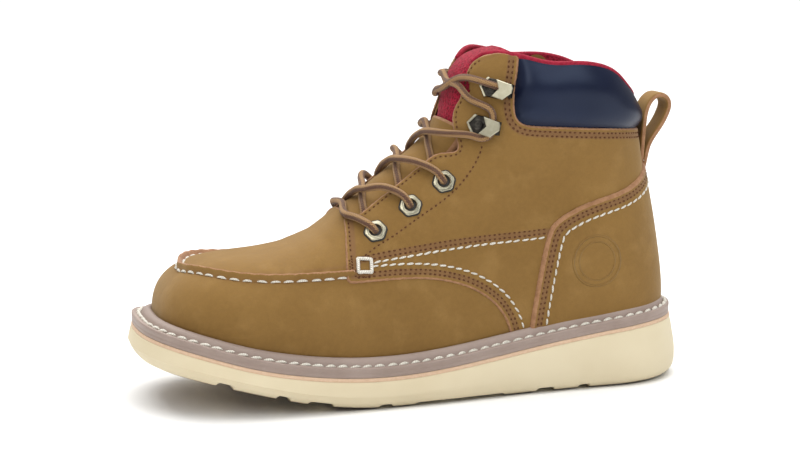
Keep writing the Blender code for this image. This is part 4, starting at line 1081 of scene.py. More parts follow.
def make_panels():
    leather, raw = MATS["nubuck"], MATS["raw"]
    rough = edge_noise()
    # vamp wall, from the moc seam down, running back under the quarter
    f = smin(-d_moc, 7.0 - d_front, 0.5)
    f = np.where(LAST["p"][:, 2] > 90, -5.0, f)
    lip = steps([0, 0.14, 0.45, 0.95, 1.45, 2.0, 2.9, 3.7, 4.8, 7.0],
                [PLUG - 0.15, 1.85, 2.60, 2.85, 2.60, 1.75, 0.35, VAMP - 0.18, VAMP - 0.06, VAMP])
    pucker_wave = np.sin(2 * np.pi * arc_of(moc, 1) / 6.8)

    def wall(x, c):
        lipped = lip(x) + 0.22 * c["wave"] * np.exp(-((x - 1.6) / 1.6) ** 2)
        # only the seam has a lip: the edge that runs under the quarter is flat
        flat = np.where(x < 0.3, VAMP - 1.3 + x * 4.3, VAMP)
        k = smoothstep(c["front"], 3.0, 5.5)
        return lipped * (1 - k) + flat * k
    panel("vamp_wall", f, wall, VAMP - 1.3, [0, 0.14, 0.45, 0.95, 1.45, 2.0, 2.9, 3.7, 4.8], [leather, raw], raw=1.2,
          marks={"wave": pucker_wave, "front": d_front, "moc": -d_moc},
          press=lambda c: 0.55 * np.exp(-((c["moc"] - 3.5) / 0.9) ** 2))
    # plug of the vamp, its rear edge raw across the throat's foot
    q_all = ridge_distance(SZ[:, 0], SZ[:, 1])[1]
    f = smin(np.where(in_plug, d_moc + 0.55, d_moc + 0.55), 9.0 - d_front, 0.5)
    f = np.where((LAST["p"][:, 2] < 55) | (SZ[:, 0] < 150), -5.0, f)
    f = np.minimum(f, (q_all - 137.2) * 1.0 + rough)
    plug = lambda x, c: PLUG - 1.2 + 1.2 * np.interp(x, [0, 0.2, 0.6, 1.2], [0, 0.55, 0.9, 1.0]) \
        + 0.18 * c["wave"] * np.exp(-((c["moc"] - 1.2) / 1.4) ** 2)
    panel("vamp_plug", f, plug, PLUG - 1.2, [0, 0.2, 0.6, 1.2, 2.4], [leather, raw], raw=1.0,
          marks={"wave": pucker_wave, "moc": d_moc},
          press=lambda c: 0.4 * np.exp(-((c["moc"] - 3.0) / 0.8) ** 2) * (c["moc"] > 0))
    # quarters: front edge, throat, top line, and cut away for the pad
    f = smin(d_throat, d_front, 2.2)
    f = smin(f, d_top, 2.0)
    f = smin(f, -d_pad, 1.0) + rough
    shape = steps([0, 0.15, 0.5, 1.0, 1.5], [0, 0.50, 0.80, 0.95, 1.0])

    def quarter(x, c):
        h = -0.55 + (QUARTER + 0.55) * shape(x)
        h = h + dip(c["padside"], 3.9, 1.9, 0.28) + dip(c["straight"], 2.8, 1.7, 0.22)
        h = h + dip(c["lower"], 3.7, 1.5, 0.26)
        h = h - 0.10 * np.exp(-((c["throat"] - 2.5) / 0.8) ** 2) - 0.08 * np.exp(-(c["outer"] / 0.7) ** 2)
        return h
    marks = {"padside": -d_pad, "straight": np.where(above_straight(), d_straight, -d_straight),
             "lower": d_front, "throat": d_throat, "outer": d_outer}

    def press(c):
        band = lambda x, a, b: smoothstep(x, a - 0.5, a + 0.3) * (1 - smoothstep(x, b - 0.3, b + 0.5))
        out = np.maximum(band(c["padside"], 2.2, 5.6), band(c["straight"], 1.2, 4.6) * 0.9)
        out = np.maximum(out, band(c["lower"], 2.2, 5.2) * 0.9)
        out = np.maximum(out, 0.35 * np.exp(-((c["throat"] - 2.5) / 0.7) ** 2))
        return np.maximum(out, 0.35 * np.exp(-(c["outer"] / 0.6) ** 2))
    for name, only in (("quarter_outer", 1), ("quarter_inner", -1)):
        panel(name, f, quarter, -0.55, [0, 0.15, 0.5, 1.0, 1.5, 2.4], [leather, raw], raw=1.0, marks=marks, press=press,
              more_cuts=[("padside", 2.2), ("padside", 5.6), ("straight", 1.2), ("straight", 4.6), ("lower", 5.3)],
              only=only, replaces=("upper",) if only > 0 else ())
    # facing inside the throat's edge
    f = smin(np.minimum(d_throat - 0.3, 22.0 - d_throat), d_top - 0.4, 1.5)
    f = np.minimum(f, 200.0 - 0 * f)
    f = np.where(q_all > 139.5, -5.0, np.minimum(f, 139.5 - q_all))
    panel("throat_facing", f, lambda x, c: -2.0 + 1.38 * np.interp(x, [0, 0.3, 0.8], [0, 0.8, 1.0]), -2.0, [0, 0.3, 0.8],
          [leather, MATS["raw_tan"]], raw=0.7, lift=0.0)
    # heel counter
    f = d_counter + rough * 1.3
    cshape = steps([0, 0.2, 0.7, 1.4, 2.1], [0, 0.42, 0.76, 0.95, 1.0])
    panel("counter_overlay", f, lambda x, c: 0.56 + (COUNTER_OUT - 0.56) * cshape(x) + dip(x, 4.9, 1.6, 0.24), 0.56,
          [0, 0.2, 0.7, 1.4, 2.1, 3.0, 6.4], [MATS["counter"], raw], raw=2.0,
          press=lambda c: smoothstep(c["f"], 2.6, 3.3) * (1 - smoothstep(c["f"], 6.1, 6.8)), replaces=("heel_counter",))
    # collar pad, puffed, tucked under the leather's edge
    f = np.minimum(d_pad + 2.6, d_top + 0.6)

    def pad(x, c):
        low = np.clip(c["pad"], 0, None)
        top = np.clip(c["top"], 0, None)
        rise = 1 - np.exp(-(low / 3.6) ** 1.25)
        roll = 1 - np.exp(-((top + 0.9) / 6.0) ** 1.25)
        swell = 1.25 * np.exp(-((top - 13.0) / 7.5) ** 2) + 0.10 * np.exp(-((low - 9.5) / 5.0) ** 2)
        h = -0.45 + 4.3 * rise * roll + swell * rise * roll
        return h
    cushion = panel("collar_pad_leather", f, pad, -1.3, [0, 0.5, 1.2, 2.6, 4.0], [MATS["navy"], MATS["navy"]], raw=-1,
                    marks={"pad": d_pad, "top": d_top}, slot="navy_leather", replaces=("collar_pad",))
    # red mesh lining all over the inside
    f = np.minimum(d_throat - 1.0, d_top - 0.2)
    f = np.where(q_all > 142.0, np.maximum(f, 3.0), f)
    panel("mesh_lining", f, lambda x, c: -2.1 + 0 * x, -3.0, [0], [MATS["red"], MATS["red"]], raw=-1, coarse=True, lift=0.0,
          slot="red_lining")


def make_inner_patch():
    """half-round leather piece inside the inner side's collar edge"""
    centre = skin(np.array([[PATCH_S, 167.0]]), -1)[0]
    away = np.linalg.norm(LAST["p"] - centre, axis=1)
    f = np.where(LAST["side"] < 0, np.minimum(7.6 - away, d_top - 0.2), -5.0)
    panel("inner_collar_patch", f, lambda x, c: -3.02 + 0 * x, -3.8, [0, 0.6], [MATS["nubuck"], MATS["raw_tan"]], raw=-1, lift=0.0)


def arc_of(lines, side):
    """distance along the moc seam of the nearest point, for every point of the dense last"""
    out = np.zeros(len(LAST["p"]))
    for sd in (1, -1):
        line = lines[sd]
        t = np.concatenate([[0], np.cumsum(np.linalg.norm(np.diff(line, axis=0), axis=1))])
        m = np.where(LAST["side"] == sd)[0]
        for i in range(0, len(m), 20000):
            p = LAST["p"][m[i:i + 20000]]
            out[m[i:i + 20000]] = t[-1] - t[((line * line).sum(1)[None] - 2 * p @ line.T).argmin(1)]
    return out


def above_straight():
    line = curve(STRAIGHT)
    order = line[np.argsort(line[:, 0])]
    return SZ[:, 1] > np.interp(SZ[:, 0], order[:, 0], order[:, 1])


# ------------------------------------------------------------------ rows along curves
def row_beside(line, dist, side, outline=None, above=None):
    """a line moved over the skin by dist, into the outline or to where above says"""
    n = outward(line)
    t = np.gradient(line, axis=0)
    t /= np.maximum(np.linalg.norm(t, axis=1, keepdims=True), 1e-9)
    b = np.cross(n, t)
    b /= np.linalg.norm(b, axis=1, keepdims=True)
    k = len(line) // 2
    probe = settle(line + b * 3.0, 3)
    votes = inside(probe[:, (0, 2)], outline) if outline is not None else above(probe[:, (0, 2)])
    sign = 1.0 if votes.mean() > 0.5 else -1.0
    moved = settle(line + b * sign * dist)
    far = distance(moved, line)
    moved = moved[far > abs(dist) * 0.94]
    return smooth_line(resample(moved, 0.7))


def smooth_line(p, times=4):
    p = p.copy()
    for _ in range(times):
        p[1:-1] = p[1:-1] * 0.5 + (p[:-2] + p[2:]) * 0.25
    return p


def clip_line(p, low=None, keep=None):
    """the longest stretch of a line where keep is true"""
    ok = keep(p)
    best, run, start = (0, 0), 0, 0
    for i, k in enumerate(list(ok) + [False]):
        if k and run == 0:
            start = i
        run = run + 1 if k else 0
        if k and run > best[1] - best[0]:
            best = (start, i + 1)
    return p[best[0]:best[1]]


def stitch_mesh(runs, pitch, length, radius, slant=0.0, proud=0.45, sink=0.7, sides=6, jitter=0.03, holes=False):
    """rounded stitches along runs of (points, outward normals): verts, faces, uvs"""
    k = np.array([-1.0, -0.72, -0.3, 0.3, 0.72, 1.0]) if not holes else np.array([-1.0, -0.5, 0.5, 1.0])
    fat = np.array([0.30, 0.78, 1.0, 1.0, 0.78, 0.30]) if not holes else np.array([0.3, 0.9, 0.9, 0.3])
    verts, faces, uvs = [], [], []
    ang = np.linspace(0, 2 * np.pi, sides, endpoint=False)
    count = 0
    for pts, nor in runs:
        if len(pts) < 3:
            continue
        t = np.concatenate([[0], np.cumsum(np.linalg.norm(np.diff(pts, axis=0), axis=1))])
        n = int(t[-1] // pitch)
        if n < 1:
            continue
        at = (np.arange(n) + 0.5) * (t[-1] / n)
        at = at + rng.normal(0, jitter * pitch, n)
        c = np.stack([np.interp(at, t, pts[:, i]) for i in range(3)], -1)
        nn = np.stack([np.interp(at, t, nor[:, i]) for i in range(3)], -1)
        nn /= np.linalg.norm(nn, axis=1, keepdims=True)
        ahead = np.stack([np.interp(at + 0.6, t, pts[:, i]) for i in range(3)], -1)
        behind = np.stack([np.interp(at - 0.6, t, pts[:, i]) for i in range(3)], -1)
        d = ahead - behind
        d -= nn * (d * nn).sum(1, keepdims=True)
        d /= np.maximum(np.linalg.norm(d, axis=1, keepdims=True), 1e-9)
        b = np.cross(nn, d)
        sl = slant + rng.normal(0, 0.05, n)
        d2 = d * np.cos(sl)[:, None] + b * np.sin(sl)[:, None]
        b2 = np.cross(nn, d2)
        size = radius * (1 + rng.normal(0, 0.06, n))
        half = length / 2 * (1 + rng.normal(0, 0.04, n))
        for i in range(n):
            h = size[i] * (proud - (proud + sink) * np.abs(k) ** 2.4)
            x = k * (half[i] - 0.15)
            ring = c[i] + d2[i] * x[:, None] + nn[i] * h[:, None]
            r = size[i] * fat
            v = (ring[:, None] + b2[i] * (np.cos(ang)[None, :, None] * r[:, None, None])
                 + nn[i] * (np.sin(ang)[None, :, None] * r[:, None, None] * 0.85))
            verts.append(v.reshape(-1, 3))
            m = len(k)
            off = rng.uniform(0, 5)
            for j in range(m - 1):
                for a in range(sides):
                    a2 = (a + 1) % sides
                    faces.append((count + j * sides + a, count + j * sides + a2, count + (j + 1) * sides + a2,
                                  count + (j + 1) * sides + a))
                    u0, u1 = a / sides, (a + 1) / sides
                    uvs += [(u0, x[j] + off), (u1, x[j] + off), (u1, x[j + 1] + off), (u0, x[j + 1] + off)]
            faces.append(tuple(count + a for a in range(sides))[::-1])
            uvs += [(0, off)] * sides
            faces.append(tuple(count + (m - 1) * sides + a for a in range(sides)))
            uvs += [(0, off)] * sides
            count += m * sides
    return np.concatenate(verts), faces, uvs


def lifted(line, height):
    n = outward(line)
    return line + n * (height + lift_at(line))[:, None], n


def make_stitches():
    white_small, brown, holes, moc_rows, eyestay_rows = [], [], [], [], []
    zs = lambda p: p[:, 2]
    hemline = lambda p: p[:, 2] > welt_top(p[:, 0]) + 3.0
    counter_line, pad_line, front_line = both_sides(counter_sz), both_sides(pad_sz), both_sides(front_sz)
    straight_line, outer_line = both_sides(curve(STRAIGHT)), both_sides(outer_sz)
    q_front, h_front = quarter_outline, None
    over = lambda sz: sz[:, 1] > np.interp(sz[:, 0], curve(STRAIGHT)[::-1, 0], curve(STRAIGHT)[::-1, 1])
    for side in (1, -1):
        # counter: two brown rows, one white
        for dist in (3.6, 5.8):
            line = clip_line(row_beside(counter_line[side], dist, side, counter_outline), keep=hemline)
            brown.append(lifted(line, COUNTER_OUT - 0.12))
        line = clip_line(row_beside(counter_line[side], 8.7, side, counter_outline), keep=hemline)
        white_small.append(lifted(line, COUNTER_OUT + 0.05))
        # around the pad
        cut_top = lambda p: (p[:, 2] < 178.2)
        for dist in (2.7, 5.0):
            line = clip_line(row_beside(pad_line[side], dist, side, np.concatenate(
                [pad_sz, [(140, 230), (200, 60), (-40, 60), (-40, 134)]])), keep=cut_top)
            brown.append(lifted(line, QUARTER - 0.12))
        # lower front edge of the quarter
        rear = lambda p: (p[:, 2] > welt_top(p[:, 0]) + 3.2) & (p[:, 2] < 72.5) & (p[:, 0] < 196.0)
        for dist in (2.8, 4.9):
            line = clip_line(row_beside(front_line[side], dist, side, quarter_outline), keep=rear)
            brown.append(lifted(line, QUARTER - 0.12))
        white = lambda p: (p[:, 2] > welt_top(p[:, 0]) + 3.2) & (p[:, 2] < 73.6) & (p[:, 0] < 187.5)
        line = clip_line(row_beside(front_line[side], 7.9, side, quarter_outline), keep=white)
        white_small.append(lifted(line, QUARTER + 0.05))
        # upright part of the front edge, one row
        stand = lambda p: (p[:, 2] > 79.5) & (p[:, 2] < 93.5)
        line = clip_line(row_beside(front_line[side], 2.5, side, quarter_outline), keep=stand)
        brown.append(lifted(line, QUARTER - 0.1))
        # long seam from the tack to the counter
        clear = lambda p: (p[:, 0] < 186.5) & (p[:, 0] > counter_front(p[:, 2]) + 0.8)
        white_small.append(lifted(clip_line(straight_line[side], keep=clear), QUARTER + 0.02))
        for dist in (2.1, 4.4):
            line = clip_line(row_beside(straight_line[side], dist, side, above=over), keep=lambda p: (
                p[:, 0] < 193.5) & (p[:, 0] > counter_front(p[:, 2]) + 0.6))
            brown.append(lifted(line, QUARTER - 0.12))
        brown.append(lifted(clip_line(outer_line[side], keep=lambda p: p[:, 0] < 193.2), QUARTER - 0.1))
        # throat's edge
        q = np.arange(27.0, 136.6, 0.5)
        half = np.interp(q, q_th, half_th)
        edge = throat_points(side, q, half)
        line = row_beside(edge, 2.4, side, np.concatenate([throat_sz, [(160, 60), (60, 60), (60, 170)]]))
        eyestay_rows.append(lifted(line, QUARTER - 0.1))
        # moc seam: below the lip on the wall, and inside on the plug
        wall_outline = np.concatenate([moc[side][:, (0, 2)], [(300, 60), (180, 40)]])
        outside = [p for p in (moc_row(side, -3.2),)]
        inner = [p[p[:, 0] > (240.0 if side > 0 else 0.0)] for p in (moc_row(side, 1.15),)]
        for p in outside:
            moc_rows.append(lifted(p, VAMP + 0.12))
        for p in inner:
            moc_rows.append(lifted(p, PLUG - 0.3))
    m = MATS
    put = lambda name, data, mat: new_object(name, *data[:2], [m[mat]], uvs=data[2], slot="lace_cord")
    put("white_seam_stitches", stitch_mesh(white_small, 4.5, 4.2, 0.56, slant=0.13, proud=0.45, sink=0.35), "white_thread")
    put("moc_stitches", stitch_mesh(moc_rows, 6.6, 6.0, 0.74, proud=0.5, sink=0.4), "white_thread")
    put("brown_seam_stitches", stitch_mesh(brown + eyestay_rows, 2.8, 1.75, 0.43, proud=0.15, sink=0.3, sides=6), "brown_thread")


def counter_front(z):
    line = counter_sz[::-1] if counter_sz[0, 1] > counter_sz[-1, 1] else counter_sz
    return np.interp(z, line[:, 1], line[:, 0])


def moc_row(side, dist):
    """row beside the moc seam; dist > 0 is on the plug"""
    line = moc[side]
    line = line[line[:, 0] > 199.0]
    n = outward(line)
    t = np.gradient(line, axis=0)
    t /= np.linalg.norm(t, axis=1, keepdims=True)
    b = np.cross(n, t)
    b /= np.linalg.norm(b, axis=1, keepdims=True)
    # towards the middle of the plug, seen in plan
    centre = np.array([235.0, 0.0])
    sign = np.sign(((centre - line[:, :2]) * b[:, :2]).sum(1).mean())
    moved = settle(line + b * sign * dist)
    far = distance(moved, line)
    return smooth_line(resample(moved[far > abs(dist) * 0.94], 0.7))


# ------------------------------------------------------------------ sole
def at_height(outline, fz):
    return np.stack([outline[:, 0], outline[:, 1], fz(outline[:, 0])], -1)


def loft(name, mats, sections, ends=True, sharp=40, slot="cream_sole", replaces=(), attrs=None):
    n = len(sections[0])
    v = np.concatenate(sections)
    faces = []
    m = len(sections)
    for j in range(m - 1 if ends else m):
        a, b = j * n, ((j + 1) % m) * n
        faces += [(a + i, a + (i + 1) % n, b + (i + 1) % n, b + i) for i in range(n)]
    if ends:
        half = n // 2
        for base, order in ((0, 1), ((m - 1) * n, -1)):
            for i in range(half):
                quad = [base + i, base + i + 1, base + (n - i - 1) % n, base + (n - i) % n]
                quad = [q for k, q in enumerate(quad) if q not in quad[:k]]
                faces.append(tuple(quad[::order]))
    ob = new_object(name, v, faces, mats, sharp=sharp, slot=slot, replaces=replaces, attrs=attrs)
    bm = bmesh.new()
    bm.from_mesh(ob.data)
    bmesh.ops.recalc_face_normals(bm, faces=bm.faces)
    if bm.calc_volume(signed=True) < 0:
        bmesh.ops.reverse_faces(bm, faces=bm.faces)
    bm.to_mesh(ob.data)
    bm.free()
    return ob


def make_sole():
    count = 150

    def grown(extra, heel):
        return ring(2.0, lambda s: overhang(s) + extra + heel * (1 - smoothstep(s, 5, 60)), count)
    top = lambda s: welt_top(s) - WELT_H - MID_H - GAP
    # columns: step, how far out past the overhang, more of it at the heel
    knots = {"extra": [-4.6, -1.6, 0.7, 1.9, 2.1, 0.9, 0.45], "heel": [0, 0.6, 1.0, 1.4, 1.2, 0.2, 0.0]}
    u = np.concatenate([[0, 0.35, 0.7, 1.0, 1.4, 1.8, 2.2, 2.7, 3.2, 3.7], np.linspace(4.1, 5.8, 9), [5.93, 6.0]])
    extra, heel = spline(range(7), knots["extra"])(u), spline(range(7), knots["heel"])(u)

    def height(k):
        def fz(s):
            lo, hi = tread(s), top(s)
            rows = [lo, lo + 1.1, lo + 3.2, lo + 6.4, (lo + hi) / 2, lo + 0.9 * (hi - lo), hi]
            i = min(int(k), 5)
            return rows[i] + (rows[i + 1] - rows[i]) * (k - i)
        return fz
    sections = [at_height(grown(e - (0.5 if k == 6.0 else 0), h), height(k)) for k, e, h in zip(u, extra, heel)]
    sole = loft("wedge_outsole", [MATS["cream"]], sections, sharp=35, replaces=("outsole",))
    cutters = []
    for name, start, stop, depth in TREAD_CUTS:
        bm = bmesh.new()
        bmesh.ops.create_cube(bm, size=1.0)
        for v in bm.verts:
            high = v.co.z > 0
            flare = -0.2 if high else 1.9
            s = (start - flare) if v.co.x > 0 else (stop + flare)
            z = float(tread(s)) + (depth + 0.5 if high else -3.0)
            v.co = Vector(world(np.array([s, -v.co.y * 200.0, z])))
        edges = [e for e in bm.edges if all(v.co.z > min(x.co.z for x in bm.verts) + 0.002 for v in e.verts)
                 and abs(e.verts[0].co.y - e.verts[1].co.y) > 0.1]
        bmesh.ops.bevel(bm, geom=edges, offset=1.2 * MM, segments=3, profile=0.5, affect="EDGES")
        mesh = bpy.data.meshes.new("cut_" + name)
        bm.to_mesh(mesh)
        bm.free()
        ob = bpy.data.objects.new("cut_" + name, mesh)
        bpy.context.scene.collection.objects.link(ob)
        cutters.append(ob)
        mod = sole.modifiers.new(name, "BOOLEAN")
        mod.object = ob
        mod.operation = "DIFFERENCE"
    bpy.context.view_layer.update()
    done = bpy.data.meshes.new_from_object(sole.evaluated_get(bpy.context.evaluated_depsgraph_get()))
    sole.modifiers.clear()
    sole.data = done
    for ob in cutters:
        bpy.data.objects.remove(ob, do_unlink=True)
    # painted shade: the tread's face and the lowest 0.9 mm of the sidewall are darkened, for the shade under the sole
    co = np.empty(len(done.vertices) * 3)
    done.vertices.foreach_get("co", co)
    co = co.reshape(-1, 3)
    s, z = ORIGIN_S - co[:, 0] / MM, co[:, 2] / MM
    under = 1 - smoothstep(z - tread(s), 0.25, 0.9)
    a = done.attributes.get("under") or done.attributes.new("under", "FLOAT", "POINT")
    a.data.foreach_set("value", under.astype(np.float32))
    done.shade_smooth()
    done.set_sharp_from_angle(angle=math.radians(35))
    base = lambda s: welt_top(s) - WELT_H
    sides = [(-0.9, -MID_H - GAP), (0.25, -MID_H - GAP), (0.32, -MID_H + 0.3), (0.16, -0.7), (-0.08, -0.1), (-0.9, 0.0)]
    loft("peach_midsole", [MATS["peach"]], [at_height(ring(2.0, lambda s: overhang(s) + e, count), lambda s: base(s) + h)
                                            for e, h in sides], slot="peach_rubber", replaces=("midsole",))
    # storm welt: outer strip with a softened edge, a groove, and the bead that hugs the upper
    hem = WELT_H - 0.05
    full = lambda a, b=0.0: (lambda s: overhang(s) * a + b)
    profile = [(-hem, full(1, -0.5), 2.0), (-hem + 0.1, full(1, -0.2), 2.0), (-hem + 0.6, full(1, -0.12), 2.0),
               (-3.6, full(1, -0.10), 2.0), (-3.2, full(1, -0.30), 2.0), (-2.8, full(1, -0.10), 2.0),
               (-1.0, full(1, 0.0), 2.0), (-0.45, full(1, -0.12), 2.0), (-0.1, full(1, -0.5), 2.0), (0.0, full(1, -1.0), 2.0),
               (-0.05, full(0.80), 2.0), (-0.35, full(0.70), 2.0), (-0.75, full(0.64), 2.0), (-0.85, full(0.58), 2.0),
               (-0.4, full(0.53), 2.0), (0.5, full(0.49), 2.0), (1.5, full(0.44), 2.2), (2.5, full(0.36), 2.8),
               (3.3, full(0.26), 3.2), (3.75, full(0.17), 3.6), (3.9, full(0.0, 0.9), 3.8), (3.75, full(0, 0.25), 3.6),
               (3.3, full(0, -0.42), 3.2), (1.6, full(0, -0.46), 1.6), (0.0, full(0, -0.46), 0.0),
               (-hem, full(0, GAP + 0.15), -hem)]
    loft("storm_welt", [MATS["taupe"]],
         [at_height(ring(b, out, count), lambda s, l=l: welt_top(s) + l) for l, out, b in profile], ends=False,
         slot="welt_rubber", replaces=("welt",), sharp=55)
    # lockstitch in the welt's groove
    line = at_height(ring(2.0, full(0.64), 400), lambda s: welt_top(s) - 0.15)
    line = np.concatenate([line, line[:1]])
    centre = np.array([150.0, 0.0])
    away = line[:, :2] - centre
    t = np.gradient(line, axis=0)
    t /= np.linalg.norm(t, axis=1, keepdims=True)
    out = np.cross(t, [0, 0, 1.0])
    out *= np.sign((out[:, :2] * away).sum(1, keepdims=True))
    n = np.array([0, 0, 0.92]) + out * 0.39
    data = stitch_mesh([(resample_with(line, n, 0.8))], 6.6, 6.5, 0.98, slant=0.17, proud=0.35, sink=0.45, sides=8)
    new_object("welt_stitches", *data[:2], [MATS["white_thread"]], uvs=data[2], slot="lace_cord")


def resample_with(p, n, step):
    both = resample(np.concatenate([p, n], 1), step) if False else None
    t = np.concatenate([[0], np.cumsum(np.linalg.norm(np.diff(p, axis=0), axis=1))])
    u = np.linspace(0, t[-1], int(t[-1] / step))
    q = np.stack([np.interp(u, t, p[:, k]) for k in range(3)], -1)
    m = np.stack([np.interp(u, t, n[:, k]) for k in range(3)], -1)
    return q, m


# ------------------------------------------------------------------ tubes
def tube_data(pts, radius, sides=14, up=None, squash=1.0, closed=False, twist=0.0):
    """tube along points with parallel frames: verts, faces, uvs (turns, mm along)"""
    n = len(pts)
    t = np.gradient(pts, axis=0)
    t /= np.maximum(np.linalg.norm(t, axis=1, keepdims=True), 1e-9)
    a = np.zeros((n, 3))
    first = np.array([0, 0, 1.0]) if up is None else up
    a[0] = first - t[0] * np.dot(first, t[0])
    a[0] /= np.linalg.norm(a[0])
    for i in range(1, n):
        a[i] = a[i - 1] - t[i] * np.dot(a[i - 1], t[i])
        a[i] /= max(np.linalg.norm(a[i]), 1e-9)
    b = np.cross(t, a)
    r = np.broadcast_to(radius, n)
    ang = np.linspace(0, 2 * np.pi, sides, endpoint=False)
    length = np.concatenate([[0], np.cumsum(np.linalg.norm(np.diff(pts, axis=0), axis=1))])
    v = pts[:, None] + r[:, None, None] * (a[:, None] * np.cos(ang)[None, :, None] + b[:, None] * np.sin(ang)[None, :, None] * squash)
    faces, uvs = [], []
    for j in range(n - 1):
        for k in range(sides):
            k2 = (k + 1) % sides
            faces.append((j * sides + k, j * sides + k2, (j + 1) * sides + k2, (j + 1) * sides + k))
            uvs += [(k / sides, length[j]), ((k + 1) / sides, length[j]), ((k + 1) / sides, length[j + 1]), (k / sides, length[j + 1])]
    faces.append(tuple(range(sides))[::-1])
    uvs += [(0, 0)] * sides
    faces.append(tuple((n - 1) * sides + k for k in range(sides)))
    uvs += [(0, length[-1])] * sides
    return v.reshape(-1, 3), faces, uvs


def through(points, step=0.8):
    """smooth 3D curve through points"""
    p = np.asarray(points, float)
    t = np.concatenate([[0], np.cumsum(np.linalg.norm(np.diff(p, axis=0), axis=1) ** 0.7)])
    fine = spline(t, p)(np.linspace(0, t[-1], 40 * len(p)))
    return resample(fine, step)


def join_data(parts):
    verts, faces, uvs, n = [], [], [], 0
    for v, f, u in parts:
        verts.append(v)
        faces += [tuple(i + n for i in face) for face in f]
        uvs += list(u)
        n += len(v)
    return np.concatenate(verts), faces, uvs


def beside(q, half, side, off):
    """point at ridge distance q, half a width from the middle, off over the last"""
    p = throat_points(side, np.array([float(q)]), np.array([float(half)]))
    return (p + outward(p) * off)[0]


def hole_of(kind, side):
    table = dict((n, (q, d)) for n, q, d in (EYELETS if kind[0] == "e" else HOOKS))
    q, d = table[kind[1]]
    p = skin(at_depth(q, d)[None], side, 0.0)
    return p[0], outward(p)[0]


def at_depth(q, d):
    u = q / ridge_len * (len(ridge_pts) - 1)
    i = int(u)
    p = ridge_pts[i] * (1 - u + i) + ridge_pts[i + 1] * (u - i)
    t = ridge_pts[i + 2] - ridge_pts[i - 1]
    t = t / np.hypot(*t)
    return p + np.array([t[1], -t[0]]) * d


def make_laces():
    parts = []
    rows = {"e1": 135.3, "e2": 110.5, "e3": 88.5, "h1": 61.5, "h2": 40.5}

    def eyelet_entry(kind, side, way):
        """points from over the leather down into an eyelet; way is +1 from the ridge side"""
        p, n = hole_of(kind, side)
        q = rows[kind]
        near = beside(q + (0.0 if kind != "e1" else 1.5), 24.0, side, 3.0)
        toward = near - p
        toward -= n * toward.dot(n)
        toward /= np.linalg.norm(toward)
        return [p + toward * 6.2 + n * 3.5, p + toward * 3.0 + n * 3.6, p + toward * 0.9 + n * 1.8, p + n * -1.2,
                p + toward * 1.0 + n * -4.2]

    # bar between the two lowest eyelets, outside
    bar = eyelet_entry("e1", 1, 1)[::-1]
    bar += [beside(137.2, 22.5, 1, 3.0), beside(138.8, 17.5, 1, 2.7), beside(137.8, 11.5, 1, 1.5), beside(135.6, 5.5, 1, 0.5),
            beside(134.4, 0.01, 1, 0.1), beside(134.4, 5.5, -1, 0.3), beside(135.0, 11.5, -1, 0.9), beside(135.6, 17.5, -1, 2.2),
            beside(135.8, 22.5, -1, 3.0)]
    bar += eyelet_entry("e1", -1, 1)
    parts.append(tube_data(through(bar), LACE_R, 14))

    def crossing(lo, side, over):
        """the lace from under the edge beside one row up to the ridge, the upper strand of the two where over is true"""
        q0 = rows[lo]
        p0, n0 = hole_of(lo, side)
        first = [p0 + n0 * -4.4, beside(q0 - 1.0, 24.5, side, -3.4)]
        if over:
            return first + [beside(q0 - 3.4, 19.5, side, -1.8), beside(q0 - 5.6, 13.0, side, -1.8), beside(q0 - 7.8, 6.5, side, -1.2),
                            beside(q0 - 9.6, 0.01, side, -0.2), beside(q0 - 11.6, 6.5, -side, 1.4),
                            beside(q0 - 13.6, 13.0, -side, 2.8)]
        return first + [beside(q0 - 4.6, 19.5, side, -1.9), beside(q0 - 8.2, 13.0, side, -2.2), beside(q0 - 12.0, 6.0, side, -2.2),
                        beside(q0 - 14.6, 0.01, side, -2.0), beside(q0 - 16.8, 6.5, -side, -1.6), beside(q0 - 18.8, 13.0, -side, 0.4)]
    # up the tongue: each strand comes out under one edge and goes down into the next hole of the other side
    for lo, hi in (("e1", "e2"), ("e2", "e3")):
        for side in (1, -1):
            end = [beside(rows[hi] + (4.8 if side < 0 else 2.2), 19.5, -side, 3.9)]
            parts.append(tube_data(through(crossing(lo, side, side < 0) + end + eyelet_entry(hi, -side, 1)), LACE_R, 14))
    for side in (1, -1):
        over = side < 0
        h1, m1 = hook_point("1", -side)
        h2, m2 = hook_point("2", side)
        mid = crossing("e3", side, over) + [beside(rows["h1"] + 9.5, 21.5, -side, 3.6)]
        wrap1 = [at_hook(m1, -1.5, -6.4, 3.0), at_hook(m1, 3.6, -6.9, 3.2), at_hook(m1, 7.4, -4.6, 3.2), at_hook(m1, 8.0, 0.3, 3.2),
                 at_hook(m1, 7.6, 4.6, 3.3), at_hook(m1, 5.6, 8.6, 3.4)]
        # the strand that ends at the lateral hook lies lower on the ridge line
        q_mid = 51.0 if side > 0 else 45.5
        low = 0.9 if side < 0 else 1.7
        up = [beside(51.5, 23.5, -side, 2.9), beside(q_mid + (1.5 if over else 3.0), 16.5, -side, 2.7 if over else 2.2),
              beside(q_mid + 1.0, 8.5, -side, low + (0.9 if over else -0.2)),
              beside(q_mid, 0.01, side, low), beside(q_mid - 3.0, 8.0, side, low + 0.9), beside(42.6, 15.0, side, 3.0)]
        wrap2 = [at_hook(m2, -7.0, 2.6, 3.3), at_hook(m2, -1.0, 1.7, 3.1), at_hook(m2, 4.0, 1.0, 2.9), at_hook(m2, 7.8, 0.5, 2.9)]
        parts.append(tube_data(through(mid + wrap1 + up + wrap2), LACE_R * 0.97, 14))
    v, f, u = join_data(parts)
    new_object("laces", v, f, [MATS["lace"]], uvs=u, slot="lace_cord",
               replaces=("lace_bar", "lace_cross_1", "lace_cross_2", "lace_cross_3", "lace_cross_4"))


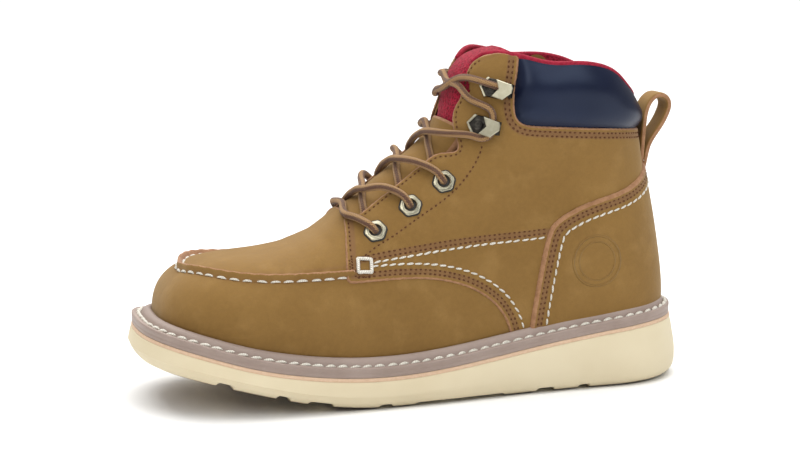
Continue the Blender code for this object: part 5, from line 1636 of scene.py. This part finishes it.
# ------------------------------------------------------------------ hardware
def frame_at(sz, side, off):
    """matrix at a point of the surface, in shoe coordinates: columns rear, up, outward, place"""
    sz = np.asarray(sz, float)[None]
    p = skin(sz, side, off)[0]
    n = outward(skin(sz, side, 0.0))[0]
    rear = skin(sz + np.array([[-0.5, -0.08]]), side, off)[0] - p
    x = rear - n * rear.dot(n)
    x /= np.linalg.norm(x)
    y = np.cross(n, x)
    if y[2] < 0:
        y = -y
    return x, y, n, p


def hook_point(number, side):
    q, d = [(q, d) for n, q, d in HOOKS if n == number][0]
    m = frame_at(at_depth(q, d), side, 0.0)
    return m[3], m


def at_hook(m, x, y, z):
    return m[3] + m[0] * x + m[1] * y + m[2] * z


def placed(local, m):
    return m[3] + local[:, :1] * m[0] + local[:, 1:2] * m[1] + local[:, 2:3] * m[2]


def ring_solid(rings):
    """solid of revolution-like rings of equal count, closed on itself"""
    n = len(rings[0])
    v = np.concatenate(rings)
    faces = []
    for j in range(len(rings)):
        a, b = j * n, ((j + 1) % len(rings)) * n
        faces += [(a + i, a + (i + 1) % n, b + (i + 1) % n, b + i) for i in range(n)]
    return v, faces


def hexagon(radius, count=48, corner=0.12, turn=0.0):
    a = np.linspace(0, 2 * np.pi, count, endpoint=False)
    k = np.mod(a - turn, math.pi / 3) - math.pi / 6
    r = radius * math.cos(math.pi / 6) / np.cos(k)
    r = r - corner * radius * np.clip((np.abs(k) / (math.pi / 6) - 0.8) / 0.2, 0, 1) ** 2 * 0.5
    return np.stack([r * np.cos(a), r * np.sin(a)], -1)


def circle(radius, count=48):
    a = np.linspace(0, 2 * np.pi, count, endpoint=False)
    return np.stack([radius * np.cos(a), radius * np.sin(a)], -1)


def flat(xy, z):
    return np.column_stack([xy, np.full(len(xy), float(z))])


def oriented(name, v, faces, mats, index=None, sharp=30, slot="pale_brass", replaces=()):
    ob = new_object(name, v, faces, mats, index, sharp=sharp, slot=slot, replaces=replaces)
    bm = bmesh.new()
    bm.from_mesh(ob.data)
    bmesh.ops.recalc_face_normals(bm, faces=bm.faces)
    if bm.calc_volume(signed=True) < 0:
        bmesh.ops.reverse_faces(bm, faces=bm.faces)
    bm.to_mesh(ob.data)
    bm.free()
    return ob


def make_eyelets():
    for side, tag in ((1, "lat"), (-1, "med")):
        for number, q, d in EYELETS:
            x, y, n, p = frame_at(at_depth(q, d), side, QUARTER)
            # local x runs along the row, so the hexagon turns with it
            ang = math.radians(-36)
            m = (x * math.cos(ang) + y * math.sin(ang), -x * math.sin(ang) + y * math.cos(ang), n, p)
            back = capped([flat(hexagon(6.75), -0.3), flat(hexagon(6.85), 0.1), flat(hexagon(6.7), 0.42), flat(hexagon(6.2), 0.5),
                           flat(circle(3.5), 0.5), flat(circle(3.2), 0.2)])
            oriented("eyelet_backing_%s_%s" % (tag, number), placed(back[0], m), back[1], [MATS["black"]], slot="dark_steel")
            v, f = ring_solid([flat(hexagon(6.0), 0.45), flat(hexagon(6.1), 0.95), flat(hexagon(5.75), 1.32), flat(hexagon(5.2), 1.45),
                               flat(circle(4.5) * 0.6 + hexagon(4.6) * 0.4, 1.42), flat(circle(4.15), 1.5), flat(circle(3.9), 1.72),
                               flat(circle(3.6), 1.76), flat(circle(3.3), 1.55), flat(circle(3.12), 1.05), flat(circle(3.05), 0.0),
                               flat(circle(3.05), -2.6), flat(circle(3.3), -2.6), flat(circle(3.35), 0.45)])
            oriented("eyelet_ring_%s_%s" % (tag, number), placed(v, m), f, [MATS["brass"]], sharp=28,
                     replaces=("eyelet_%s_%s" % (tag, number),))


def prism(outline, z0, z1, bevel=0.35):
    """a flat plate with chamfered edges from an outline: rings from the underside to the face"""
    p = np.asarray(outline, float)
    c = p.mean(0)

    def inset(d):
        t = np.roll(p, -1, 0) - p
        t /= np.linalg.norm(t, axis=1, keepdims=True)
        nrm = np.stack([t[:, 1], -t[:, 0]], -1)
        if area(p) < 0:
            nrm = -nrm
        prev = np.roll(nrm, 1, 0)
        mean = nrm + prev
        mean /= np.maximum((mean ** 2).sum(1, keepdims=True) / 2, 0.3)
        return p - mean * d
    return [flat(inset(bevel), z0), flat(p, z0 + bevel), flat(p, z1 - bevel), flat(inset(bevel), z1)]


def area(p):
    x, y = p[:, 0], p[:, 1]
    return 0.5 * float(np.sum(x * np.roll(y, -1) - y * np.roll(x, -1)))


def capped(rings):
    n = len(rings[0])
    v = np.concatenate(rings)
    faces = [(j * n + i, j * n + (i + 1) % n, (j + 1) * n + (i + 1) % n, (j + 1) * n + i) for j in range(len(rings) - 1)
             for i in range(n)]
    faces += [tuple(range(n))[::-1], tuple((len(rings) - 1) * n + i for i in range(n))]
    return v, faces


def make_hooks():
    for side, tag in ((1, "lat"), (-1, "med")):
        for number, q, d in HOOKS:
            m = frame_at(at_depth(q, d), side, QUARTER)
            flip = 1.0
            hexa = [(5.9 * math.cos(a), 5.9 * math.sin(a)) for a in np.radians([120, 180, 240])]
            hexa = [(-2.9, 5.1), (-5.9, 0.2), (-3.1, -4.9)]
            base = hexa + [(2.8, -5.1), (7.6, -5.2), (10.4, -2.2), (10.6, 2.0), (8.8, 3.7), (2.8, 4.9)]
            base = [(x, y * flip) for x, y in base]
            v, f = capped(prism(base, 0.0, 1.15, 0.4))
            oriented("hook_base_%s_%s" % (tag, number), placed(v, m), f, [MATS["gunmetal"]], sharp=25, slot="dark_steel",
                     replaces=("hook_%s_%s" % (tag, number),))
            # bright bevel along the front of the base
            rimx = [(-2.6, 5.5), (-6.3, 0.2), (-2.8, -5.3), (-1.4, -4.9), (-4.9, 0.2), (-1.2, 5.0)]
            v, f = capped(prism(rimx, 0.2, 1.55, 0.25))
            oriented("hook_bevel_%s_%s" % (tag, number), placed(v, m), f, [MATS["brass"]], sharp=25)
            # rivet in the base
            rv, rf = capped([flat(circle(3.1, 24), 1.1), flat(circle(3.1, 24), 1.45), flat(circle(2.7, 24), 1.7),
                             flat(circle(2.1, 24), 1.55), flat(circle(1.8, 24), 0.7)])
            oriented("hook_rivet_%s_%s" % (tag, number), placed(rv, m), rf, [MATS["gunmetal"]], sharp=40, slot="dark_steel")
            # the fold at the rear, a curved strip from the base up into the cap
            arc = [(9.9 + 1.9 * math.sin(a), 2.9 - 2.35 * math.cos(a)) for a in np.linspace(0, math.pi, 11)]
            sect = []
            for k, (ax, az) in enumerate(arc):
                a = math.pi * k / 10
                out = np.array([math.sin(a), -math.cos(a)])
                lo, hi = np.array([ax, az]) - out * 0.1, np.array([ax, az]) + out * 0.85
                wide = 3.9
                sect.append(np.array([(lo[0], -wide, lo[1]), (hi[0], -wide, hi[1]), (hi[0], wide * 0.8, hi[1]), (lo[0], wide * 0.8, lo[1])]))
            v, f = capped(sect)
            oriented("hook_fold_%s_%s" % (tag, number), placed(v, m), f, [MATS["gunmetal"]], sharp=35, slot="dark_steel")
            cap = [(3.2, 4.3), (11.9, 2.7), (12.9, 0.9), (12.7, -1.6), (8.2, -6.0), (1.9, -5.0), (5.4, -0.6)]
            rings = prism(cap, 4.9, 6.1, 0.35)
            # the cap tilts a little, rising towards the rear
            v, f = capped(rings)
            v[:, 2] += 0.05 * (v[:, 0] - 6.0) - 0.25 * np.exp(-((v[:, 1] + 0.5) / 2.0) ** 2) * 0
            oriented("hook_cap_%s_%s" % (tag, number), placed(v, m), f, [MATS["brass"]], sharp=25)


# ------------------------------------------------------------------ soft pieces
def make_tongue():
    # how deep the tongue's face lies under the last, by distance q along the ridge
    table = {"q": [17, 20, 24, 28, 32, 36, 40, 46, 60, 67], "deep": [15.0, 10.5, 6.4, 3.8, 2.3, 1.6, 1.4, 1.5, 2.6, 5.2]}
    qs = np.concatenate([np.linspace(17, 40, 22), np.linspace(41.5, 152, 66)])
    deep = np.interp(qs, table["q"], table["deep"])
    u = np.linspace(-1, 1, 57)
    rows = []
    for q, dd in zip(qs, deep):
        reach = 26.0 - 3.0 * smoothstep(q, 120, 150)
        g = u * reach
        sz = over_ridge(np.full(len(g), q), np.abs(g))
        p = settle(np.stack([sz[:, 0], middle(sz[:, 0], sz[:, 1]) + g, sz[:, 1]], -1))
        n = outward(p)
        puff = 0.9 * np.exp(-((np.abs(g) - 13.0) / 5.0) ** 2) * (1 - smoothstep(q, 52, 64))
        edge = 1.6 * smoothstep(np.abs(g), reach - 4.0, reach) ** 2
        rows.append(p - n * (dd - puff + edge)[:, None])
    face = np.array(rows)
    # thin towards the edges and the roll at the top
    thick = 4.2 * np.sqrt(np.clip(1 - np.abs(u) ** 6, 0.02, 1))[None] * np.clip(0.35 + (qs - 17)[:, None] / 6.0, 0.35, 1.0)
    du, dq = np.gradient(face, axis=1), np.gradient(face, axis=0)
    nrm = np.cross(du, dq)
    nrm /= np.maximum(np.linalg.norm(nrm, axis=-1, keepdims=True), 1e-9)
    ref = outward(settle(face.reshape(-1, 3).copy())).reshape(face.shape)
    nrm *= np.sign((nrm * ref).sum(-1).mean())
    back = face - nrm * thick[..., None]
    r, c = face.shape[:2]
    v = np.concatenate([face.reshape(-1, 3), back.reshape(-1, 3)])
    i = np.arange(r * c).reshape(r, c)
    quads = [np.stack([i[:-1, :-1], i[:-1, 1:], i[1:, 1:], i[1:, :-1]], -1).reshape(-1, 4)]
    quads.append(quads[0][:, ::-1] + r * c)
    loop = np.concatenate([i[0, :], i[1:, -1], i[-1, -2::-1], i[-2:0:-1, 0]])
    nxt = np.roll(loop, -1)
    quads.append(np.stack([nxt, loop, loop + r * c, nxt + r * c], -1))
    tongue = oriented("tongue_mesh", v, np.concatenate(quads).tolist(), [MATS["red"]], sharp=70, slot="red_lining",
                      replaces=("tongue",))
    # leather face on the lower part, a raw edge all round
    qs2 = np.concatenate([[65.0, 65.15, 65.6, 66.4, 68], np.linspace(69.5, 152, 66)])
    w2 = np.concatenate([[-1, -0.985, -0.95, -0.9], np.linspace(-0.82, 0.82, 41), [0.9, 0.95, 0.985, 1]])
    lift = np.interp(1 - np.abs(w2), [0, 0.015, 0.05, 0.1], [0.0, 0.7, 1.05, 1.2])
    rows, low = [], []
    for q in qs2:
        reach = 25.6 - 5.0 * (1 - smoothstep(q, 65, 71)) ** 2 - 1.5 * smoothstep(q, 90, 120)
        g = w2 * reach
        sz = over_ridge(np.full(len(g), q), np.abs(g))
        p = settle(np.stack([sz[:, 0], middle(sz[:, 0], sz[:, 1]) + g, sz[:, 1]], -1))
        n = outward(p)
        h = np.minimum(lift, np.interp(q - 65.0, [0, 0.15, 0.6, 1.4], [0.0, 0.7, 1.05, 1.2]))
        crease = 0.25 * np.sin(q * 0.35 + g * 0.08) * np.exp(-((q - 100) / 40.0) ** 2)
        sunk = 2.2 * smoothstep(q, 60, 76) * (1 - smoothstep(q, 122, 142))
        rows.append(p + n * (-2.75 - sunk + h + crease)[:, None])
        low.append(p + n * (-2.78 - sunk + crease)[:, None])
    face, back = np.array(rows), np.array(low)
    r, c = face.shape[:2]
    v = np.concatenate([face.reshape(-1, 3), back.reshape(-1, 3) - 0.02])
    i = np.arange(r * c).reshape(r, c)
    quads = [np.stack([i[:-1, :-1], i[:-1, 1:], i[1:, 1:], i[1:, :-1]], -1).reshape(-1, 4)]
    top_count = len(quads[0])
    quads.append(quads[0][:, ::-1] + r * c)
    loop = np.concatenate([i[0, :], i[1:, -1], i[-1, -2::-1], i[-2:0:-1, 0]])
    nxt = np.roll(loop, -1)
    quads.append(np.stack([nxt, loop, loop + r * c, nxt + r * c], -1))
    quads = np.concatenate(quads)
    ii, jj = np.meshgrid(np.arange(r - 1), np.arange(c - 1), indexing="ij")
    edge = ((jj < 3) | (jj >= c - 4) | (ii < 3)).reshape(-1)
    index = np.concatenate([edge.astype(int), np.zeros(len(quads) - top_count, int)])
    ob = oriented("tongue_leather", v, quads.tolist(), [MATS["nubuck"], MATS["raw"]], index, sharp=70, slot="nubuck")


def make_binding():
    """rolled red edge along the collar, from one front corner round the back to the other"""
    line = curve(TOPLINE)
    line = line[line[:, 0] < 124.0]
    halves = []
    for side in (1, -1):
        sz = line[line[:, 0] >= float(back_s(153.2)) - 0.2].copy()
        p = skin(sz, side)
        p[0, 1] = middle(sz[:1, 0], sz[:1, 1])[0]
        halves.append(p)
    p = np.concatenate([halves[0][::-1], halves[1][1:]])
    p = smooth_line(resample(p, 1.0), 12)
    p = settle(p, 2)
    n = outward(p)
    path = p + n * -1.1 + np.array([0, 0, -0.25])
    v, f, u = tube_data(path, 1.55, 12)
    ob = new_object("collar_binding", v, f, [MATS["binding"]], uvs=u, slot="red_lining")


LOOP = {"s": [23.4, 21.4, 20.0, 18.3, 15.0, 11.0, 7.9, 6.9, 9.0, 13.2, 17.2, 19.9, 21.2, 21.8, 22.2, 22.8, 24.0],
        "z": [108.0, 114.5, 121.0, 127.0, 132.5, 138.2, 144.2, 149.6, 153.0, 154.0, 151.6, 146.8, 140.5, 133, 126, 118.5, 110.0]}


def make_pull_loop():
    path2 = curve(LOOP, step=1.0)
    t = np.gradient(path2, axis=0)
    t /= np.linalg.norm(t, axis=1, keepdims=True)
    n = np.stack([t[:, 1], -t[:, 0]], -1)
    half_w, half_t = 7.8, 1.45
    sect = []
    for a in np.linspace(0, 2 * np.pi, 32, endpoint=False):
        c, s = math.cos(a), math.sin(a)
        sect.append((half_w * math.copysign(abs(c) ** 0.22, c), half_t * math.copysign(abs(s) ** 0.5, s)))
    sect = np.array(sect)
    rings = []
    total = len(path2)
    for k in range(total):
        u = k / (total - 1)
        wide = 1.0 - 0.10 * math.sin(math.pi * u)
        lean = 1.0 * math.sin(math.pi * u)              # the strap leans a little to the outer side
        pos = path2[k]
        off = n[k][None] * sect[:, 1:2]
        ring_pts = np.stack([pos[0] + off[:, 0], ORIGIN_W + lean + sect[:, 0] * wide, pos[1] + off[:, 1]], -1)
        rings.append(ring_pts)
    v, f = capped(rings)
    m = len(sect)
    cosines = np.abs(np.cos(np.linspace(0, 2 * np.pi, m, endpoint=False) + math.pi / m))
    index = np.array([1 if cosines[i] > 0.93 else 0 for _ in range(total - 1) for i in range(m)] + [1, 1])
    oriented("pull_loop_strap", v, f, [MATS["nubuck"], MATS["raw"]], index, sharp=70, slot="nubuck", replaces=("pull_loop",))


def make_tack():
    """square of thick white thread at the quarter's lower front corner, each side"""
    parts, dark = [], []
    for side in (1, -1):
        corner = np.array([(193.6, 76.6), (186.8, 76.2), (187.4, 70.0), (194.4, 70.2)])
        pts = skin(corner, side)
        for a, b in ((0, 1), (1, 2), (2, 3), (3, 0)):
            line = settle(resample(np.stack([pts[a], pts[b]]), count=9))
            line = line + (line[-1] - line[0]) * np.linspace(-0.03, 0.03, 9)[:, None]
            n = outward(line)
            bow = 0.55 + 0.55 * np.sin(np.linspace(0.15, np.pi - 0.15, 9))
            parts.append(tube_data(line + n * (QUARTER + bow - 0.45 + lift_at(line))[:, None], 0.92, 8))
        # dense brown tacking round it
        for (s0, z0), (s1, z1) in (((196.6, 78.5), (197.2, 70.5)), ((198.0, 76.5), (198.4, 71.0)), ((196.8, 68.6), (188.0, 67.4))):
            line = settle(skin(resample(np.array([(s0, z0), (s1, z1)], float), 0.5), side))
            dark.append(lifted(line, QUARTER - 0.05))
    v, f, u = join_data(parts)
    new_object("tack_squares", v, f, [MATS["white_thread"]], uvs=u, slot="lace_cord")
    data = stitch_mesh(dark, 1.5, 1.5, 0.38, slant=0.5, proud=0.3, sink=0.6, sides=5)
    new_object("tack_dark_stitches", *data[:2], [MATS["brown_thread"]], uvs=data[2], slot="lace_cord")


make_panels()
make_inner_patch()
make_stitches()
make_sole()
make_laces()
make_eyelets()
make_hooks()
make_tongue()
make_binding()
make_pull_loop()
make_tack()
inner = frame["nodes"]["insole"]
inner.data.materials.clear()
inner.data.materials.append(MATS["insole"])

# ------------------------------------------------------------------ camera, light and floor


def look_at(ob, target):
    ob.rotation_euler = (Vector(target) - ob.location).to_track_quat("-Z", "Y").to_euler()


def make_stage():
    cam = bpy.data.cameras.new("camera")
    cam.lens, cam.sensor_width = 90.0, 36.0
    cam.clip_end = 50
    ob = bpy.data.objects.new("camera", cam)
    bpy.context.scene.collection.objects.link(ob)
    ob.location = (-0.3079, -1.0204, 0.2600)
    yaw, pitch = math.radians(16.5), math.radians(9.3275)
    ahead = Vector((math.sin(yaw) * math.cos(pitch), math.cos(yaw) * math.cos(pitch), -math.sin(pitch)))
    ob.rotation_euler = ahead.to_track_quat("-Z", "Y").to_euler()
    bpy.context.scene.camera = ob

    bm = bmesh.new()
    bmesh.ops.create_grid(bm, x_segments=1, y_segments=1, size=30.0)
    mesh = bpy.data.meshes.new("floor")
    bm.to_mesh(mesh)
    bm.free()
    m = Nodes("pale_floor")
    m.set(colour=(0.90, 0.90, 0.895), roughness=0.75, specular=0.1)
    mesh.materials.append(m.mat)
    floor = bpy.data.objects.new("floor", mesh)
    floor.location = (0, 0, -0.0004)
    bpy.context.scene.collection.objects.link(floor)

    w = bpy.data.worlds.new("studio")
    bpy.context.scene.world = w
    w.use_nodes = True
    w.node_tree.nodes["Background"].inputs["Color"].default_value = (1, 1, 1, 1)
    w.node_tree.nodes["Background"].inputs["Strength"].default_value = 0.28
    for name, place, target, size, power, tint in (
            ("key", (-1.1, -1.5, 1.5), (0.0, 0.0, 0.08), 1.1, 12.5, (1.0, 0.985, 0.96)),
            ("fill", (0.75, -1.3, 1.25), (0.05, 0.0, 0.12), 0.9, 8.5, (0.92, 0.96, 1.0)),
            ("top", (0.0, 0.25, 2.0), (0.0, 0.0, 0.0), 2.6, 63.0, (1.0, 1.0, 1.0)),
            ("far", (1.2, 4.0, 2.6), (1.2, 4.01, 0.0), 6.0, 170.0, (1.0, 1.0, 1.0))):
        light = bpy.data.lights.new(name, "AREA")
        light.size = size
        light.energy = power
        light.color = tint
        lo = bpy.data.objects.new(name, light)
        lo.location = place
        look_at(lo, target)
        bpy.context.scene.collection.objects.link(lo)


make_stage()
bpy.context.scene.view_settings.view_transform = "Standard"
bpy.context.scene.view_settings.look = "None"
